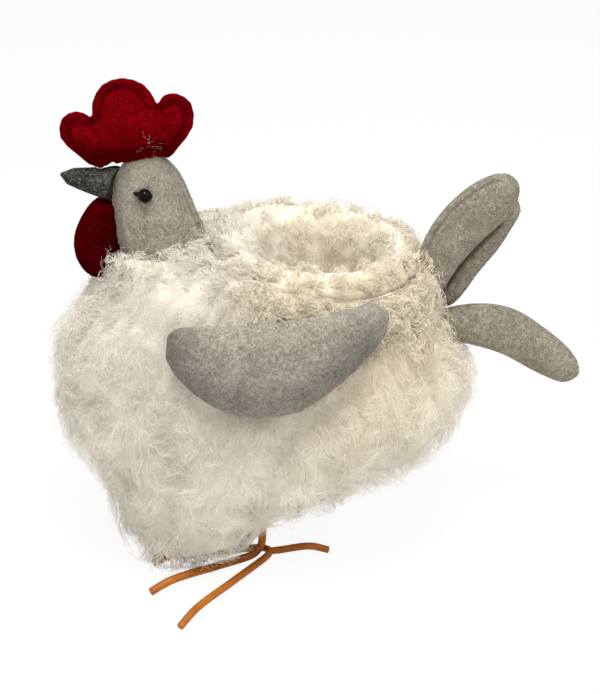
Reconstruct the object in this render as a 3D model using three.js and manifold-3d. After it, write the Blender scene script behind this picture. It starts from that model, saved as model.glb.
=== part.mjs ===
// Hen-shaped egg basket: a foam form with a nest hollow in its back, dressed in curly
// pile fabric, with stuffed felt head, comb, wattle, beak, wings and tail, on wire feet.
//
// Millimetres, +Z up. The hen looks along -X, and its left side is the -Y side.
// Shapes are drawn from a point on the floor midway between the two legs. The finished
// group is then moved, so that its origin is on the floor below the object's middle.

import * as THREE from 'three';
import { mergeVertices } from 'three/addons/utils/BufferGeometryUtils.js';
import Module from 'manifold-3d';

// Driving dimensions

const LENGTH_BACK = 160.4;        // legs to the tip of the drooping tail feather
const LENGTH_FRONT = 106;         // legs to the front of the breast
const PILE = 9;                   // fabric and mean pile, outside of the form
const LINING = 6.5;               // shorter pile inside the nest
const FELT = 1.2;                 // thickness of one layer of wool felt
const GAP = 0.3;                  // clearance between pieces that touch
const SOFT_GAP = 0.5;             // clearance round the curved form and the neck
const SEAM_GAP = 0.15;            // half of the gap in a seam on the middle plane

const AROUND = 24;                // corners round the body and the nest
const PLAN_POWER = 2.3;           // roundness of the body seen from above

const NEST_X = 27.5;              // middle of the nest behind the legs
const NEST_FLOOR = 99;            // height of the nest's floor
const PAD_TOP = 98;               // height of the felt pad's flat top
const PAD_LENGTH = 60;
const PAD_WIDTH = 72;
const PAD_SEAT = 20;              // the lining is open for the pad, this far down
const OVERCUT = 1;                // a cutter reaches past the face that it opens

const LEG_SPREAD = 35;            // each leg's distance from the middle plane
const LEG_RADIUS = 1.9;           // the leg's wire, which is also the middle toe
const TOE_RADIUS = 1.7;           // the other toes' wire
const LEG_TOP = 72;               // the leg ends this high, inside the form
const HUB_HEIGHT = 3.2;           // toe wires at the foot of the leg
const KNUCKLE_HEIGHT = 4.7;       // toe wires where the claw bends down
const LOOP_RADIUS = 4.05;         // the side toes' wire loops round the leg
const BORE_CLEARANCE = 0.4;
const WIRE_SIDES = 8;
const BORE_SIDES = 12;
const LEG_STEPS = 22;             // straight pieces in each wire
const SIDE_TOES_STEPS = 34;
const HIND_TOE_STEPS = 10;

const EYE_RADIUS = 3;
const EYE = [-52.7, 15.6, 185.8];
const EYE_SIDES = 12;
const EYE_ROWS = 8;

const WING_X = 4;                 // the middle of the wing's upper edge
const WING_SIDE = 74;             // the wing's upper edge from the middle plane
const WING_HEIGHT = 150.5;        // the middle of the left wing's upper edge
const WING_DROP = 4;              // the right wing, hidden behind the far rim, sits lower
const WING_RISE = 8.3;            // degrees, the wing's rear end stands higher
const WING_LEAN = 5;              // degrees, the lower edge stands out
const WING_BEND = 7.5;            // the wing curves in round the body, by this much
const WING_HALF = 48;             // at this distance from
const WING_BEND_X = -5;           // the line about which it curves
const FEATHER_SIDE = 5.8;         // each upper feather's distance from the middle plane

// Outer shape of the pile, one line for each height:
// height, front, back, half width

const BODY_RINGS = [
  [6, -58, -25, 36],
  [10, -70, -14, 47],
  [18, -79, 3, 55],
  [28, -82, 28, 60.5],
  [40, -85.5, 56, 66.5],
  [52, -92.5, 80, 70.5],
  [66, -102.5, 97, 72],
  [82, -LENGTH_FRONT, 104.5, 72],
  [96, -103.5, 104, 71],
  [110, -98.5, 99, 69.5],
  [124, -90.5, 91.5, 67.8],
  [137, -79.5, 86.5, 66],
  [148, -67, 81, 63],
  [156, -50, 74, 56.5],
  [160, -34, 66, 48],
];

// Hollow of the nest: height, half length, half width

const NEST_RINGS = [
  [NEST_FLOOR, 32, 38],
  [103, 36, 42],
  [116, 38.5, 44.5],
  [136, 39.5, 46],
  [150, 40.5, 47],
  [158, 43, 49.5],
  [167, 48, 54],
];

// Cushions of felt. Each has an outline seen from the hen's left (x, z), a spine that
// its panels swell towards, the number of corners round it, the width of its flat seam
// margin and the height of its crown. A crown that tapers is given at two places. A panel
// swells in two steps, each at a share of the way from its seam to its spine.

const SWELL_STEPS = [0.3, 0.68];
const NARROWEST = 0.5;            // a seam margin takes at most this share of that way

const HEAD = {
  outline: [
    [-69, 122], [-66.5, 146], [-68.8, 160.5], [-70, 174], [-69, 188], [-63, 198.2],
    [-52, 201], [-42.5, 198.6], [-36.4, 190], [-31.4, 176.6], [-27.6, 167], [-24.8, 158],
    [-22.6, 146], [-20, 122], [-44, 112],
  ],
  spine: [[-52.5, 185], [-45.5, 128]],
  corners: 24,
  margin: 0.8,
  crown: { along: 'y', from: [186, 13.4], to: [140, 18] },
};
const COMB = {
  outline: [
    [-74.2, 193.6], [-85, 201.5], [-92, 209.5], [-90.8, 218], [-84.4, 221.1],
    [-79, 219.2], [-77, 216.8], [-76.2, 225.5], [-71.5, 233.4], [-62.3, 236.6],
    [-52.8, 233.7], [-48, 227], [-46.9, 224.2], [-43.5, 228.5], [-37.5, 229.4],
    [-31.3, 225], [-30.8, 214.5], [-38, 204.5], [-43.5, 198.5], [-58, 194],
  ],
  spine: [[-78, 209], [-43, 214]],
  cornersPerPoint: 2,
  margin: 3.5,
  crown: 5.6,
};
const WATTLE = {
  outline: [
    [-72, 181], [-78.5, 178.6], [-84.8, 171], [-89.4, 160], [-88.6, 148.5], [-82, 140],
    [-74, 141], [-68, 152], [-67, 166], [-68, 177],
  ],
  spine: [[-76.5, 170], [-78.5, 154]],
  corners: 16,
  margin: 1.5,
  crown: 5,
};
const BEAK = {
  outline: [
    [-62, 196.5], [-76, 195.2], [-90, 194.2], [-94.6, 191.4], [-91.5, 188.2], [-76, 181.2],
    [-62, 176.5],
  ],
  spine: [[-88, 190.5], [-66, 187]],
  corners: 14,
  margin: 0.8,
  crown: { along: 'x', from: [-93, 1.8], to: [-69, 6.4] },
};
const UPPER_LEFT_FEATHER = {
  outline: [
    [79, 130], [76.5, 142], [76.2, 153], [81, 166.4], [91.2, 180.4], [102.9, 189.9],
    [113.5, 193.6], [120.4, 191.4], [121.8, 183], [116.9, 172.7], [106, 161.4],
    [94.4, 146.8], [86.5, 133.5],
  ],
  spine: [[89, 151], [110, 181]],
  corners: 20,
  margin: 1.2,
  crown: 4,
};
const UPPER_RIGHT_FEATHER = {
  outline: [
    [85, 124], [82.5, 138], [89.6, 153.7], [97.3, 165.5], [105.5, 174.4], [113.8, 179.6],
    [121.2, 178.8], [125.4, 173.5], [122.2, 164.5], [114.3, 150.2], [107.4, 141.2],
    [100.4, 130], [93, 121.5],
  ],
  spine: [[95, 139], [114, 168]],
  corners: 20,
  margin: 1.2,
  crown: 4,
};
const LOWER_FEATHER = {
  outline: [
    [80, 116.5], [92, 122.6], [108.9, 124.9], [124.2, 122.1], [141, 111.3], [153.6, 100.2],
    [LENGTH_BACK, 88.6], [154, 82.4], [138.8, 88], [121.2, 98], [106, 103.2], [92, 105.5],
    [80, 104.5],
  ],
  spine: [[92, 113.5], [147, 95]],
  corners: 22,
  margin: 1.2,
  crown: 4,
};
const WING = {
  outline: [
    [-47, -15], [-44, -6], [-31, -2.5], [-4, -3.8], [22, -3.9], [40, -4.2],
    [51.5, -6.8], [53.6, -13.7], [45, -24], [28, -36.3], [8, -46], [-10, -46.5],
    [-27, -40.6], [-40.5, -28],
  ],
  spine: [[-25, -20], [32, -14]],
  corners: 24,
  margin: 1,
  crown: 5.4,
};

// Toes seen from above: direction in degrees, and where each bends down and ends

const FRONT_TOES = {
  inner: { angle: 192, knuckle: 45, tip: 55 },
  middle: { angle: 211.5, knuckle: 52.5, tip: 62.5 },
  outer: { angle: 235, knuckle: 59, tip: 70 },
};
const HIND_TOE = { angle: 7, knuckle: 24.6, tip: 33.6 };

// The bend from the middle toe up into the leg: distance from the leg, and height

const LEG_BEND = [[7, 3.2], [2.4, 3.9], [0.3, 6.6]];
const LEG_STRAIGHT = 12;          // the leg is upright from this height

const cream = { color: '#ece4d4', roughness: 0.95, metalness: 0 };
const warmCream = { color: '#e8dcc2', roughness: 0.95, metalness: 0 };
const foamWhite = { color: '#f2f1ec', roughness: 0.85, metalness: 0 };
const greyFelt = { color: '#a9a59c', roughness: 0.95, metalness: 0 };
const redFelt = { color: '#8c0d1c', roughness: 0.95, metalness: 0 };
const charcoalFelt = { color: '#4c4b4c', roughness: 0.95, metalness: 0 };
const wadding = { color: '#f4f2ee', roughness: 1, metalness: 0 };
const blackGlass = { color: '#0b0b0d', roughness: 0.05, metalness: 0 };
const ochrePaint = { color: '#b8731f', roughness: 0.45, metalness: 0.1 };

const wasm = await Module();
wasm.setup();

// Closed meshes

function toSolid(geometry) {
  const bare = geometry.clone();
  bare.deleteAttribute('normal');
  bare.deleteAttribute('uv');
  const merged = mergeVertices(bare, 1e-4);
  return new wasm.Manifold(new wasm.Mesh({
    numProp: 3,
    vertProperties: new Float32Array(merged.attributes.position.array),
    triVerts: new Uint32Array(merged.index.array),
  }));
}

function toGeometry(solid) {
  const mesh = solid.getMesh();
  const geometry = new THREE.BufferGeometry();
  geometry.setAttribute('position', new THREE.BufferAttribute(mesh.vertProperties, 3));
  geometry.setIndex(new THREE.BufferAttribute(mesh.triVerts, 1));
  geometry.computeVertexNormals();
  return geometry;
}

// Joins a row of loops with the same number of corners into one closed form. The first
// and the last loop are filled flat, and the faces are turned to point out.
function stackLoops(loops) {
  const corners = loops[0].length;
  const positions = loops.flat().flatMap((p) => [p.x, p.y, p.z]);
  const faces = [];
  for (let row = 0; row < loops.length - 1; row++) {
    for (let i = 0; i < corners; i++) {
      const a = row * corners + i;
      const b = row * corners + (i + 1) % corners;
      faces.push([a, b, b + corners], [a, b + corners, a + corners]);
    }
  }
  const last = (loops.length - 1) * corners;
  const fill = (loop) => {
    const flat = loop.map((p) => new THREE.Vector2(p.x, p.y));
    const triangles = THREE.ShapeUtils.triangulateShape(flat, []);
    const turn = THREE.ShapeUtils.isClockWise(flat) ? 1 : -1;
    const [u, v, w] = triangles[0];
    const across = (flat[v].x - flat[u].x) * (flat[w].y - flat[u].y)
      - (flat[v].y - flat[u].y) * (flat[w].x - flat[u].x);
    return across * turn < 0 ? triangles : triangles.map(([p, q, r]) => [p, r, q]);
  };
  faces.push(...fill(loops[0]).map(([a, b, c]) => [a, c, b]));
  faces.push(...fill(loops.at(-1)).map(([a, b, c]) => [a + last, b + last, c + last]));

  const geometry = new THREE.BufferGeometry();
  geometry.setAttribute('position', new THREE.Float32BufferAttribute(positions, 3));
  const volume = faces.reduce((sum, [a, b, c]) => {
    const [p, q, r] = [a, b, c].map((i) => new THREE.Vector3().fromArray(positions, 3 * i));
    return sum + p.dot(q.cross(r));
  }, 0);
  geometry.setIndex(volume > 0 ? faces.flat() : faces.flatMap(([a, b, c]) => [a, c, b]));
  geometry.computeVertexNormals();
  return geometry;
}

// The same form, grown (or with a negative amount shrunk) square to its surface.
function grown(geometry, amount) {
  const copy = geometry.clone();
  const { position, normal } = copy.attributes;
  for (let i = 0; i < position.count; i++) {
    position.setXYZ(
      i,
      position.getX(i) + amount * normal.getX(i),
      position.getY(i) + amount * normal.getY(i),
      position.getZ(i) + amount * normal.getZ(i),
    );
  }
  copy.computeVertexNormals();
  return copy;
}

// A level loop that is rounder than a rectangle and fuller than an ellipse.
function levelLoop(x, halfLength, halfWidth, z) {
  return Array.from({ length: AROUND }, (_, i) => {
    const angle = (i / AROUND) * 2 * Math.PI;
    const reach = (part) => Math.sign(part) * Math.abs(part) ** (2 / PLAN_POWER);
    return new THREE.Vector3(
      x + halfLength * reach(Math.cos(angle)),
      halfWidth * reach(Math.sin(angle)),
      z,
    );
  });
}

// Stuffed felt

function crownOf(crown, p) {
  if (typeof crown === 'number') return crown;
  const { along, from: [start, first], to: [end, last] } = crown;
  const share = THREE.MathUtils.clamp((p[along] - start) / (end - start), 0, 1);
  return THREE.MathUtils.lerp(first, last, share);
}

function closestOn([a, b], p) {
  return new THREE.Line3(a, b).closestPointToPoint(p, true, new THREE.Vector3());
}

// A cushion of two felt panels with wadding between them, lying flat on the XY plane.
// The edge is a flat seam margin, and inside of it the panels swell to the crown. The
// corners are spaced evenly, or, where cornersPerPoint is given, they keep the outline's
// own points, so that its notches stay sharp.
function stuffedFelt({ outline, spine, corners, cornersPerPoint, margin, crown }) {
  const curve = new THREE.CatmullRomCurve3(
    outline.map(([x, y]) => new THREE.Vector3(x, y, 0)), true, 'centripetal',
  );
  const edge = cornersPerPoint
    ? curve.getPoints(outline.length * cornersPerPoint).slice(0, -1)
    : curve.getSpacedPoints(corners).slice(0, -1);
  const [a, b] = spine.map(([x, y]) => new THREE.Vector3(x, y, 0));
  const inward = (p, share) => p.clone().lerp(closestOn([a, b], p), share);
  const seam = edge.map((p) => {
    const room = p.distanceTo(closestOn([a, b], p));
    return inward(p, Math.min(margin / room, NARROWEST));
  });
  const rings = [
    { points: edge, swell: 0 },
    { points: seam, swell: 0 },
    ...SWELL_STEPS.map((share) => ({
      points: seam.map((p) => inward(p, share)),
      swell: Math.sqrt(1 - (1 - share) ** 2),
    })),
  ];
  const lifted = (ring, extra) => ring.points.map((p) => new THREE.Vector3(
    p.x, p.y, SEAM_GAP + ring.swell * crownOf(crown, p) + extra,
  ));
  const mirrored = (loop) => loop.map((p) => new THREE.Vector3(p.x, p.y, -p.z));

  const inside = rings.map((ring) => lifted(ring, 0));
  const outside = rings.map((ring) => lifted(ring, FELT));
  const stuffing = rings.slice(2).map((ring) => lifted(ring, -GAP));
  const panel = [...inside.toReversed(), ...outside];
  return {
    near: stackLoops(panel),
    far: stackLoops(panel.map(mirrored)),
    wadding: stackLoops([...stuffing.toReversed(), ...stuffing.map(mirrored)]),
    whole: stackLoops([...outside.toReversed(), ...outside.map(mirrored)]),
  };
}

// Stands a cushion up in the plane y = side. Its near panel faces the hen's left.
function stood(cushion, side) {
  const upright = new THREE.Matrix4().makeRotationX(Math.PI / 2).setPosition(0, side, 0);
  return Object.fromEntries(
    Object.entries(cushion).map(([key, shape]) => [key, shape.clone().applyMatrix4(upright)]),
  );
}

// Wire

function wire(points, radius, steps) {
  const section = new THREE.Shape();
  for (let i = 0; i < WIRE_SIDES; i++) {
    const angle = (i / WIRE_SIDES) * 2 * Math.PI;
    const place = [radius * Math.cos(angle), radius * Math.sin(angle)];
    if (i === 0) section.moveTo(...place);
    else section.lineTo(...place);
  }
  section.closePath();
  const path = new THREE.CatmullRomCurve3(
    points.map((p) => new THREE.Vector3(...p)), false, 'centripetal',
  );
  return new THREE.ExtrudeGeometry(section, { steps, extrudePath: path, bevelEnabled: false });
}

const hen = new THREE.Group();
const frame = new THREE.Group();
hen.add(frame);

function add(name, geometry, look, parent = frame) {
  const mesh = new THREE.Mesh(geometry, new THREE.MeshStandardMaterial(look));
  mesh.name = name;
  parent.add(mesh);
  return mesh;
}

// Body, nest and covers

const pileForm = stackLoops(BODY_RINGS.map(
  ([z, front, back, half]) => levelLoop((front + back) / 2, (back - front) / 2, half, z),
));
const nestForm = stackLoops(NEST_RINGS.map(
  ([z, halfLength, halfWidth]) => levelLoop(NEST_X, halfLength, halfWidth, z),
));
const pile = toSolid(pileForm);
const underPile = toSolid(grown(pileForm, -PILE));
const nest = toSolid(nestForm);

const padLoop = (z, extra) => levelLoop(
  NEST_X, PAD_LENGTH / 2 + extra, PAD_WIDTH / 2 + extra, z,
);
const padSeat = toSolid(stackLoops([
  padLoop(NEST_FLOOR - PAD_SEAT, GAP), padLoop(NEST_FLOOR + OVERCUT, GAP),
]));

const legBores = [-1, 1].map((side) => {
  const radius = LEG_RADIUS + BORE_CLEARANCE;
  const bore = new THREE.CylinderGeometry(radius, radius, LEG_TOP + GAP, BORE_SIDES);
  bore.rotateX(Math.PI / 2);
  bore.translate(0, side * LEG_SPREAD, (LEG_TOP + GAP) / 2);
  return toSolid(bore);
});

let form = toSolid(grown(pileForm, -PILE - SOFT_GAP))
  .intersect(underPile)
  .subtract(toSolid(grown(nestForm, LINING + GAP)));
for (const bore of legBores) form = form.subtract(bore);
add('foam_form', toGeometry(form), foamWhite);

const lining = toSolid(grown(nestForm, LINING)).subtract(nest).intersect(pile).subtract(padSeat);
add('nest_lining', toGeometry(lining), warmCream);
add('nest_floor_pad', stackLoops([
  padLoop(NEST_FLOOR - LINING, 0), padLoop(PAD_TOP, 0),
]), greyFelt);

// Head, comb, wattle, beak and eyes

const headCushion = stood(stuffedFelt(HEAD), 0);
const combCushion = stood(stuffedFelt(COMB), 0);
const wattleCushion = stood(stuffedFelt(WATTLE), 0);
const beakCushion = stood(stuffedFelt(BEAK), 0);
const headRoom = toSolid(grown(headCushion.whole, SOFT_GAP)).add(toSolid(headCushion.whole));

function addCushion(name, cushion, look, cutters, [near, far] = ['left', 'right']) {
  const cut = (geometry) => {
    const solid = toSolid(geometry);
    return toGeometry(cutters.reduce((rest, cutter) => rest.subtract(cutter), solid));
  };
  add(`${name}_${near}_panel`, cut(cushion.near), look);
  add(`${name}_${far}_panel`, cut(cushion.far), look);
  add(`${name}_wadding`, cut(cushion.wadding), wadding);
}

const pileRoom = toSolid(grown(pileForm, GAP));
addCushion('head', headCushion, greyFelt, [underPile]);
addCushion('comb', combCushion, redFelt, [headRoom]);
addCushion('wattle', wattleCushion, redFelt, [headRoom, pileRoom]);
addCushion('beak', beakCushion, charcoalFelt, [
  headRoom,
  toSolid(grown(combCushion.whole, GAP)),
  toSolid(grown(wattleCushion.whole, GAP)),
]);

for (const [name, side] of [['eye_left', -1], ['eye_right', 1]]) {
  const bead = new THREE.SphereGeometry(EYE_RADIUS, EYE_SIDES, EYE_ROWS);
  bead.translate(EYE[0], side * EYE[1], EYE[2]);
  add(name, toGeometry(toSolid(bead).subtract(headRoom)), blackGlass);
}

// Tail: two upper feathers side by side, and one that droops below them

const tail = {
  tail_upper_left: stood(stuffedFelt(UPPER_LEFT_FEATHER), -FEATHER_SIDE),
  tail_upper_right: stood(stuffedFelt(UPPER_RIGHT_FEATHER), FEATHER_SIDE),
  tail_lower: stood(stuffedFelt(LOWER_FEATHER), 0),
};
const lowerRoom = toSolid(grown(tail.tail_lower.whole, GAP));
addCushion('tail_upper_left', tail.tail_upper_left, greyFelt, [underPile, lowerRoom],
  ['outer', 'inner']);
addCushion('tail_upper_right', tail.tail_upper_right, greyFelt, [underPile, lowerRoom],
  ['inner', 'outer']);
addCushion('tail_lower', tail.tail_lower, greyFelt, [underPile]);

// The pile fabric is open for the nest, the neck, the tail and the legs, and its two
// halves meet in a seam on the middle plane.

let cover = pile.subtract(underPile).subtract(toSolid(grown(nestForm, LINING + GAP)));
for (const cutter of [headRoom, lowerRoom, ...legBores,
  toSolid(grown(tail.tail_upper_left.whole, GAP)),
  toSolid(grown(tail.tail_upper_right.whole, GAP))]) {
  cover = cover.subtract(cutter);
}
const halfSpace = 2 * (LENGTH_FRONT + LENGTH_BACK);
for (const [name, side] of [['pile_cover_left', -1], ['pile_cover_right', 1]]) {
  const half = new THREE.BoxGeometry(halfSpace, halfSpace, halfSpace);
  half.translate(0, side * (halfSpace / 2 + SEAM_GAP), 0);
  add(name, toGeometry(cover.intersect(toSolid(half))), cream);
}

// Wings, each on a group whose X axis is its sewn upper edge

const flatWing = stuffedFelt(WING);

// Curves a wing about its middle, so that its ends lie against the body.
function bent(geometry, side) {
  const copy = geometry.clone();
  const { position } = copy.attributes;
  for (let i = 0; i < position.count; i++) {
    const along = (position.getX(i) - WING_BEND_X) / WING_HALF;
    position.setZ(i, position.getZ(i) + side * WING_BEND * along ** 2);
  }
  copy.computeVertexNormals();
  return copy;
}

for (const [name, side, height] of [
  ['wing_left', -1, WING_HEIGHT],
  ['wing_right', 1, WING_HEIGHT - WING_DROP],
]) {
  const wing = new THREE.Group();
  wing.position.set(WING_X, side * WING_SIDE, height);
  wing.rotation.set(
    THREE.MathUtils.degToRad(90 + side * WING_LEAN),
    THREE.MathUtils.degToRad(-WING_RISE),
    0,
    'YXZ',
  );
  frame.add(wing);
  const [outer, inner] = side < 0 ? ['near', 'far'] : ['far', 'near'];
  add(`${name}_outer_panel`, bent(flatWing[outer], side), greyFelt, wing);
  add(`${name}_inner_panel`, bent(flatWing[inner], side), greyFelt, wing);
  add(`${name}_wadding`, bent(flatWing.wadding, side), wadding, wing);
}

// Legs and toes, bent from three wires for each foot

for (const [name, side] of [['left', -1], ['right', 1]]) {
  const at = (angle, distance, z, sideways = 0) => {
    const turn = THREE.MathUtils.degToRad(angle);
    const x = distance * Math.cos(turn) - sideways * Math.sin(turn);
    const y = distance * Math.sin(turn) + sideways * Math.cos(turn);
    return [x, side * (LEG_SPREAD - y), z];
  };
  const toe = ({ angle, knuckle, tip }, radius, sideways = 0) => [
    at(angle, tip, radius, sideways),
    at(angle, knuckle, KNUCKLE_HEIGHT, sideways),
    at(angle, knuckle / 2, (KNUCKLE_HEIGHT + HUB_HEIGHT) / 2, sideways),
  ];
  const { inner, middle, outer } = FRONT_TOES;

  add(`leg_${name}_wire`, wire([
    ...toe(middle, LEG_RADIUS),
    ...LEG_BEND.map(([distance, z]) => at(middle.angle, distance, z)),
    at(0, 0, LEG_STRAIGHT),
    at(0, 0, LEG_TOP),
  ], LEG_RADIUS, LEG_STEPS), ochrePaint);

  const loop = [0, 0.25, 0.5, 0.75, 1].map((share) => {
    const angle = THREE.MathUtils.lerp(outer.angle + 90, inner.angle + 270, share);
    return at(angle, LOOP_RADIUS, HUB_HEIGHT);
  });
  add(`side_toes_${name}_wire`, wire([
    ...toe(outer, TOE_RADIUS, LOOP_RADIUS),
    ...loop,
    ...toe(inner, TOE_RADIUS, -LOOP_RADIUS).toReversed(),
  ], TOE_RADIUS, SIDE_TOES_STEPS), ochrePaint);

  const start = LOOP_RADIUS + TOE_RADIUS + SEAM_GAP;
  add(`hind_toe_${name}_wire`, wire([
    at(HIND_TOE.angle, start, HUB_HEIGHT),
    ...toe(HIND_TOE, TOE_RADIUS).toReversed(),
  ], TOE_RADIUS, HIND_TOE_STEPS), ochrePaint);
}

const extent = new THREE.Box3().setFromObject(hen);
frame.position.x = -(extent.min.x + extent.max.x) / 2;
frame.position.z = -extent.min.z;

export default hen;
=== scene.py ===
# %% [markdown]
# # A hen-shaped egg basket in felt, curly pile and wire
#
# The real object is sewn and stuffed by hand. A light foam form with a nest hollow is dressed
# in a long curly pile fabric. The head, comb, wattle, beak, wings and tail are pairs of wool
# felt panels, sewn together and stuffed. The feet are bent from painted wire.
#
# The solids of the construction come in as a fixed frame. They say where each piece is and
# how large it is. These cells make what the eye sees: the felt, the thread, the pile, the
# beads and the wire, each in the place of its solid.

# %% The frame and its box
import math

import bmesh
import bpy
import numpy as np
from mathutils import Matrix, Vector
from mathutils.bvhtree import BVHTree
from mathutils.kdtree import KDTree


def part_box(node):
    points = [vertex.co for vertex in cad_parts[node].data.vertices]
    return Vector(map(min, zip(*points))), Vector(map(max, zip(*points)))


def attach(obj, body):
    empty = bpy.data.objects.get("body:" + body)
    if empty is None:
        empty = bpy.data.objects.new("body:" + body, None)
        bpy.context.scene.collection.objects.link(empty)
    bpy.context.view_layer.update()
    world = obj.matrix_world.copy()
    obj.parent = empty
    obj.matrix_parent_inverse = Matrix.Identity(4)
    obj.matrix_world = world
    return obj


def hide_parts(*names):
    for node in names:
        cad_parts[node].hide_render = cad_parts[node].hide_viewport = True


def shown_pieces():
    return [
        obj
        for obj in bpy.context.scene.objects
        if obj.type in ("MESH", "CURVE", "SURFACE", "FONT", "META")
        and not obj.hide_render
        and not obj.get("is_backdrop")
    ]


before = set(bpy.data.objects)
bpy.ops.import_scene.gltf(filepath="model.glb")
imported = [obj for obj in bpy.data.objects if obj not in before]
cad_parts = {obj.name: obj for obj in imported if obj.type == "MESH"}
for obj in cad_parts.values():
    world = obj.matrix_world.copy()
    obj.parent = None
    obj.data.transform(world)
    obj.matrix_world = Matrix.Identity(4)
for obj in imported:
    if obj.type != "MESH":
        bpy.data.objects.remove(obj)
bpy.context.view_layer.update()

# %% [markdown]
# ## Sizes
#
# Blender works in metres here, so a size in millimetres is written as a number times MM. The
# legs stand on the point that all other places are measured from, and the frame knows where
# that is: the leg's upright wire is the part of it that reaches farthest back.

# %% Sizes taken from the frame
MM = 0.001
LEG_RADIUS = 1.9 * MM
TOE_RADIUS = 1.7 * MM
LEG_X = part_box("leg_left_wire")[1].x - LEG_RADIUS
NEST_LOW, NEST_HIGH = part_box("nest_lining")
NEST_MIDDLE = (NEST_LOW + NEST_HIGH) / 2
LEFT, RIGHT = -1, 1
print("legs stand at x =", round(LEG_X / MM, 2), "mm")

# %% [markdown]
# ## The camera
#
# The camera goes where the photographer stood: in front of the hen's left side, 650 mm away,
# looking down by 25 degrees. The lens follows from the picture's long side, 694 pixels, and
# from how large the hen is in it.

# %% Camera
PICTURE_LONG_SIDE = 694
FOCAL_PIXELS = 1300
SENSOR = 36
CAMERA_DISTANCE = 650 * MM
CAMERA_DOWN = math.radians(25)
CAMERA_TARGET = Vector((LEG_X + 19 * MM, 0, 101.6 * MM))

camera = bpy.data.objects.new("camera", bpy.data.cameras.new("camera"))
bpy.context.scene.collection.objects.link(camera)
camera_back = Vector((0, -math.cos(CAMERA_DOWN), math.sin(CAMERA_DOWN)))
camera.location = CAMERA_TARGET + CAMERA_DISTANCE * camera_back
camera.rotation_euler = camera_back.to_track_quat("Z", "Y").to_euler()
camera.data.sensor_width = SENSOR
camera.data.lens = FOCAL_PIXELS / PICTURE_LONG_SIDE * SENSOR
camera.data.clip_start = 0.01
bpy.context.scene.camera = camera

# %% [markdown]
# ## Small helpers
#
# An operator works on all that is selected, so `pick` first deselects everything. A modifier
# is added and applied in one go by `shape_with`, and `weigh` gives it the weights to read.
# `solid_copy` takes the solids of one or more nodes as a new mesh whose loose triangles are
# merged, because a node's own mesh must stay as it is.


# %% Selecting, modifiers and copies of solids
PULL_AND_PUSH = (0.5, -0.53)


def pick(*objects):
    bpy.ops.object.select_all(action="DESELECT")
    for item in objects:
        item.select_set(True)
    bpy.context.view_layer.objects.active = objects[0]


def shape_with(item, kind, **settings):
    """Adds a modifier with these settings and applies it."""
    pick(item)
    modifier = item.modifiers.new(kind.lower(), kind)
    for name, value in settings.items():
        setattr(modifier, name, value)
    bpy.ops.object.modifier_apply(modifier=modifier.name)


def new_object(name, mesh):
    made = bpy.data.objects.new(name, mesh)
    bpy.context.scene.collection.objects.link(made)
    return made


def merge_doubles(item, distance=0.001 * MM):
    pick(item)
    bpy.ops.object.mode_set(mode="EDIT")
    bpy.ops.mesh.select_all(action="SELECT")
    bpy.ops.mesh.remove_doubles(threshold=distance)
    bpy.ops.object.mode_set(mode="OBJECT")


def solid_copy(name, *nodes):
    parts = [new_object(name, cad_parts[node].data.copy()) for node in nodes]
    pick(*parts)
    if len(parts) > 1:
        bpy.ops.object.join()
    made = bpy.context.object
    made.name = made.data.name = name
    made.data.materials.clear()
    if made.data.has_custom_normals:
        bpy.ops.mesh.customdata_custom_splitnormals_clear()
    merge_doubles(made)
    return made


def columns(items, attribute, width=3, kind=np.float32):
    """One attribute of many mesh elements as rows of numbers."""
    flat = np.empty(len(items) * width, kind)
    items.foreach_get(attribute, flat)
    return flat.reshape(-1, width) if width > 1 else flat


def place_vertices(item, points):
    item.data.vertices.foreach_set("co", np.ascontiguousarray(points, np.float32).ravel())
    item.data.update()


def evened(item, passes):
    """Smooths a mesh without shrinking it: after each pull together comes a push apart."""
    points = columns(item.data.vertices, "co").astype(float)
    edges = columns(item.data.edges, "vertices", 2, np.int32)
    neighbours = np.bincount(edges.ravel(), minlength=len(points))[:, None]
    for share in PULL_AND_PUSH * passes:
        total = np.zeros_like(points)
        np.add.at(total, edges[:, 0], points[edges[:, 1]])
        np.add.at(total, edges[:, 1], points[edges[:, 0]])
        points += share * (total / neighbours - points)
    place_vertices(item, points)


def weigh(item, name, weights):
    """A vertex group with one weight for each vertex."""
    group = item.vertex_groups.new(name=name)
    for index, weight in enumerate(weights):
        group.add([index], float(weight), "REPLACE")


def point_tree(rows):
    """Rows of points, ready to be searched for the nearest one."""
    tree = KDTree(len(rows))
    for index, point in enumerate(rows):
        tree.insert(point, index)
    tree.balance()
    return tree


def flattened(rows):
    """Points moved into the hen's middle plane."""
    return np.column_stack([rows[:, 0], 0 * rows[:, 0], rows[:, 2]])


def keep_largest_shell(item):
    """Drops the small closed bubbles that a remesh leaves inside a cushion."""
    work = bmesh.new()
    work.from_mesh(item.data)
    todo, shells = set(work.verts), []
    while todo:
        stack, shell = [todo.pop()], []
        while stack:
            vertex = stack.pop()
            shell.append(vertex)
            for edge in vertex.link_edges:
                other = edge.other_vert(vertex)
                if other in todo:
                    todo.discard(other)
                    stack.append(other)
        shells.append(shell)
    shells.sort(key=len)
    for shell in shells[:-1]:
        bmesh.ops.delete(work, geom=shell, context="VERTS")
    work.to_mesh(item.data)
    work.free()


def smoothstep(low, high, value):
    share = np.clip((value - low) / (high - low), 0, 1)
    return share * share * (3 - 2 * share)


def unit(rows):
    return rows / np.maximum(np.linalg.norm(rows, axis=1, keepdims=True), 1e-12)


def along_surface(rows, ways):
    return unit(rows - np.sum(rows * ways, axis=1, keepdims=True) * ways)


# %% [markdown]
# ## Building materials
#
# A colour is written as it looks on a screen, as a hex value. Shaders work in linear light,
# so `shade` turns one into the other. `add_node` puts a node into a material, sets its
# options and either links or sets each of its inputs, and `blend` mixes two colours. Patterns
# read Object coordinates, which are metres here, so a noise of scale 1 / size has features of
# about that size.


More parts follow.
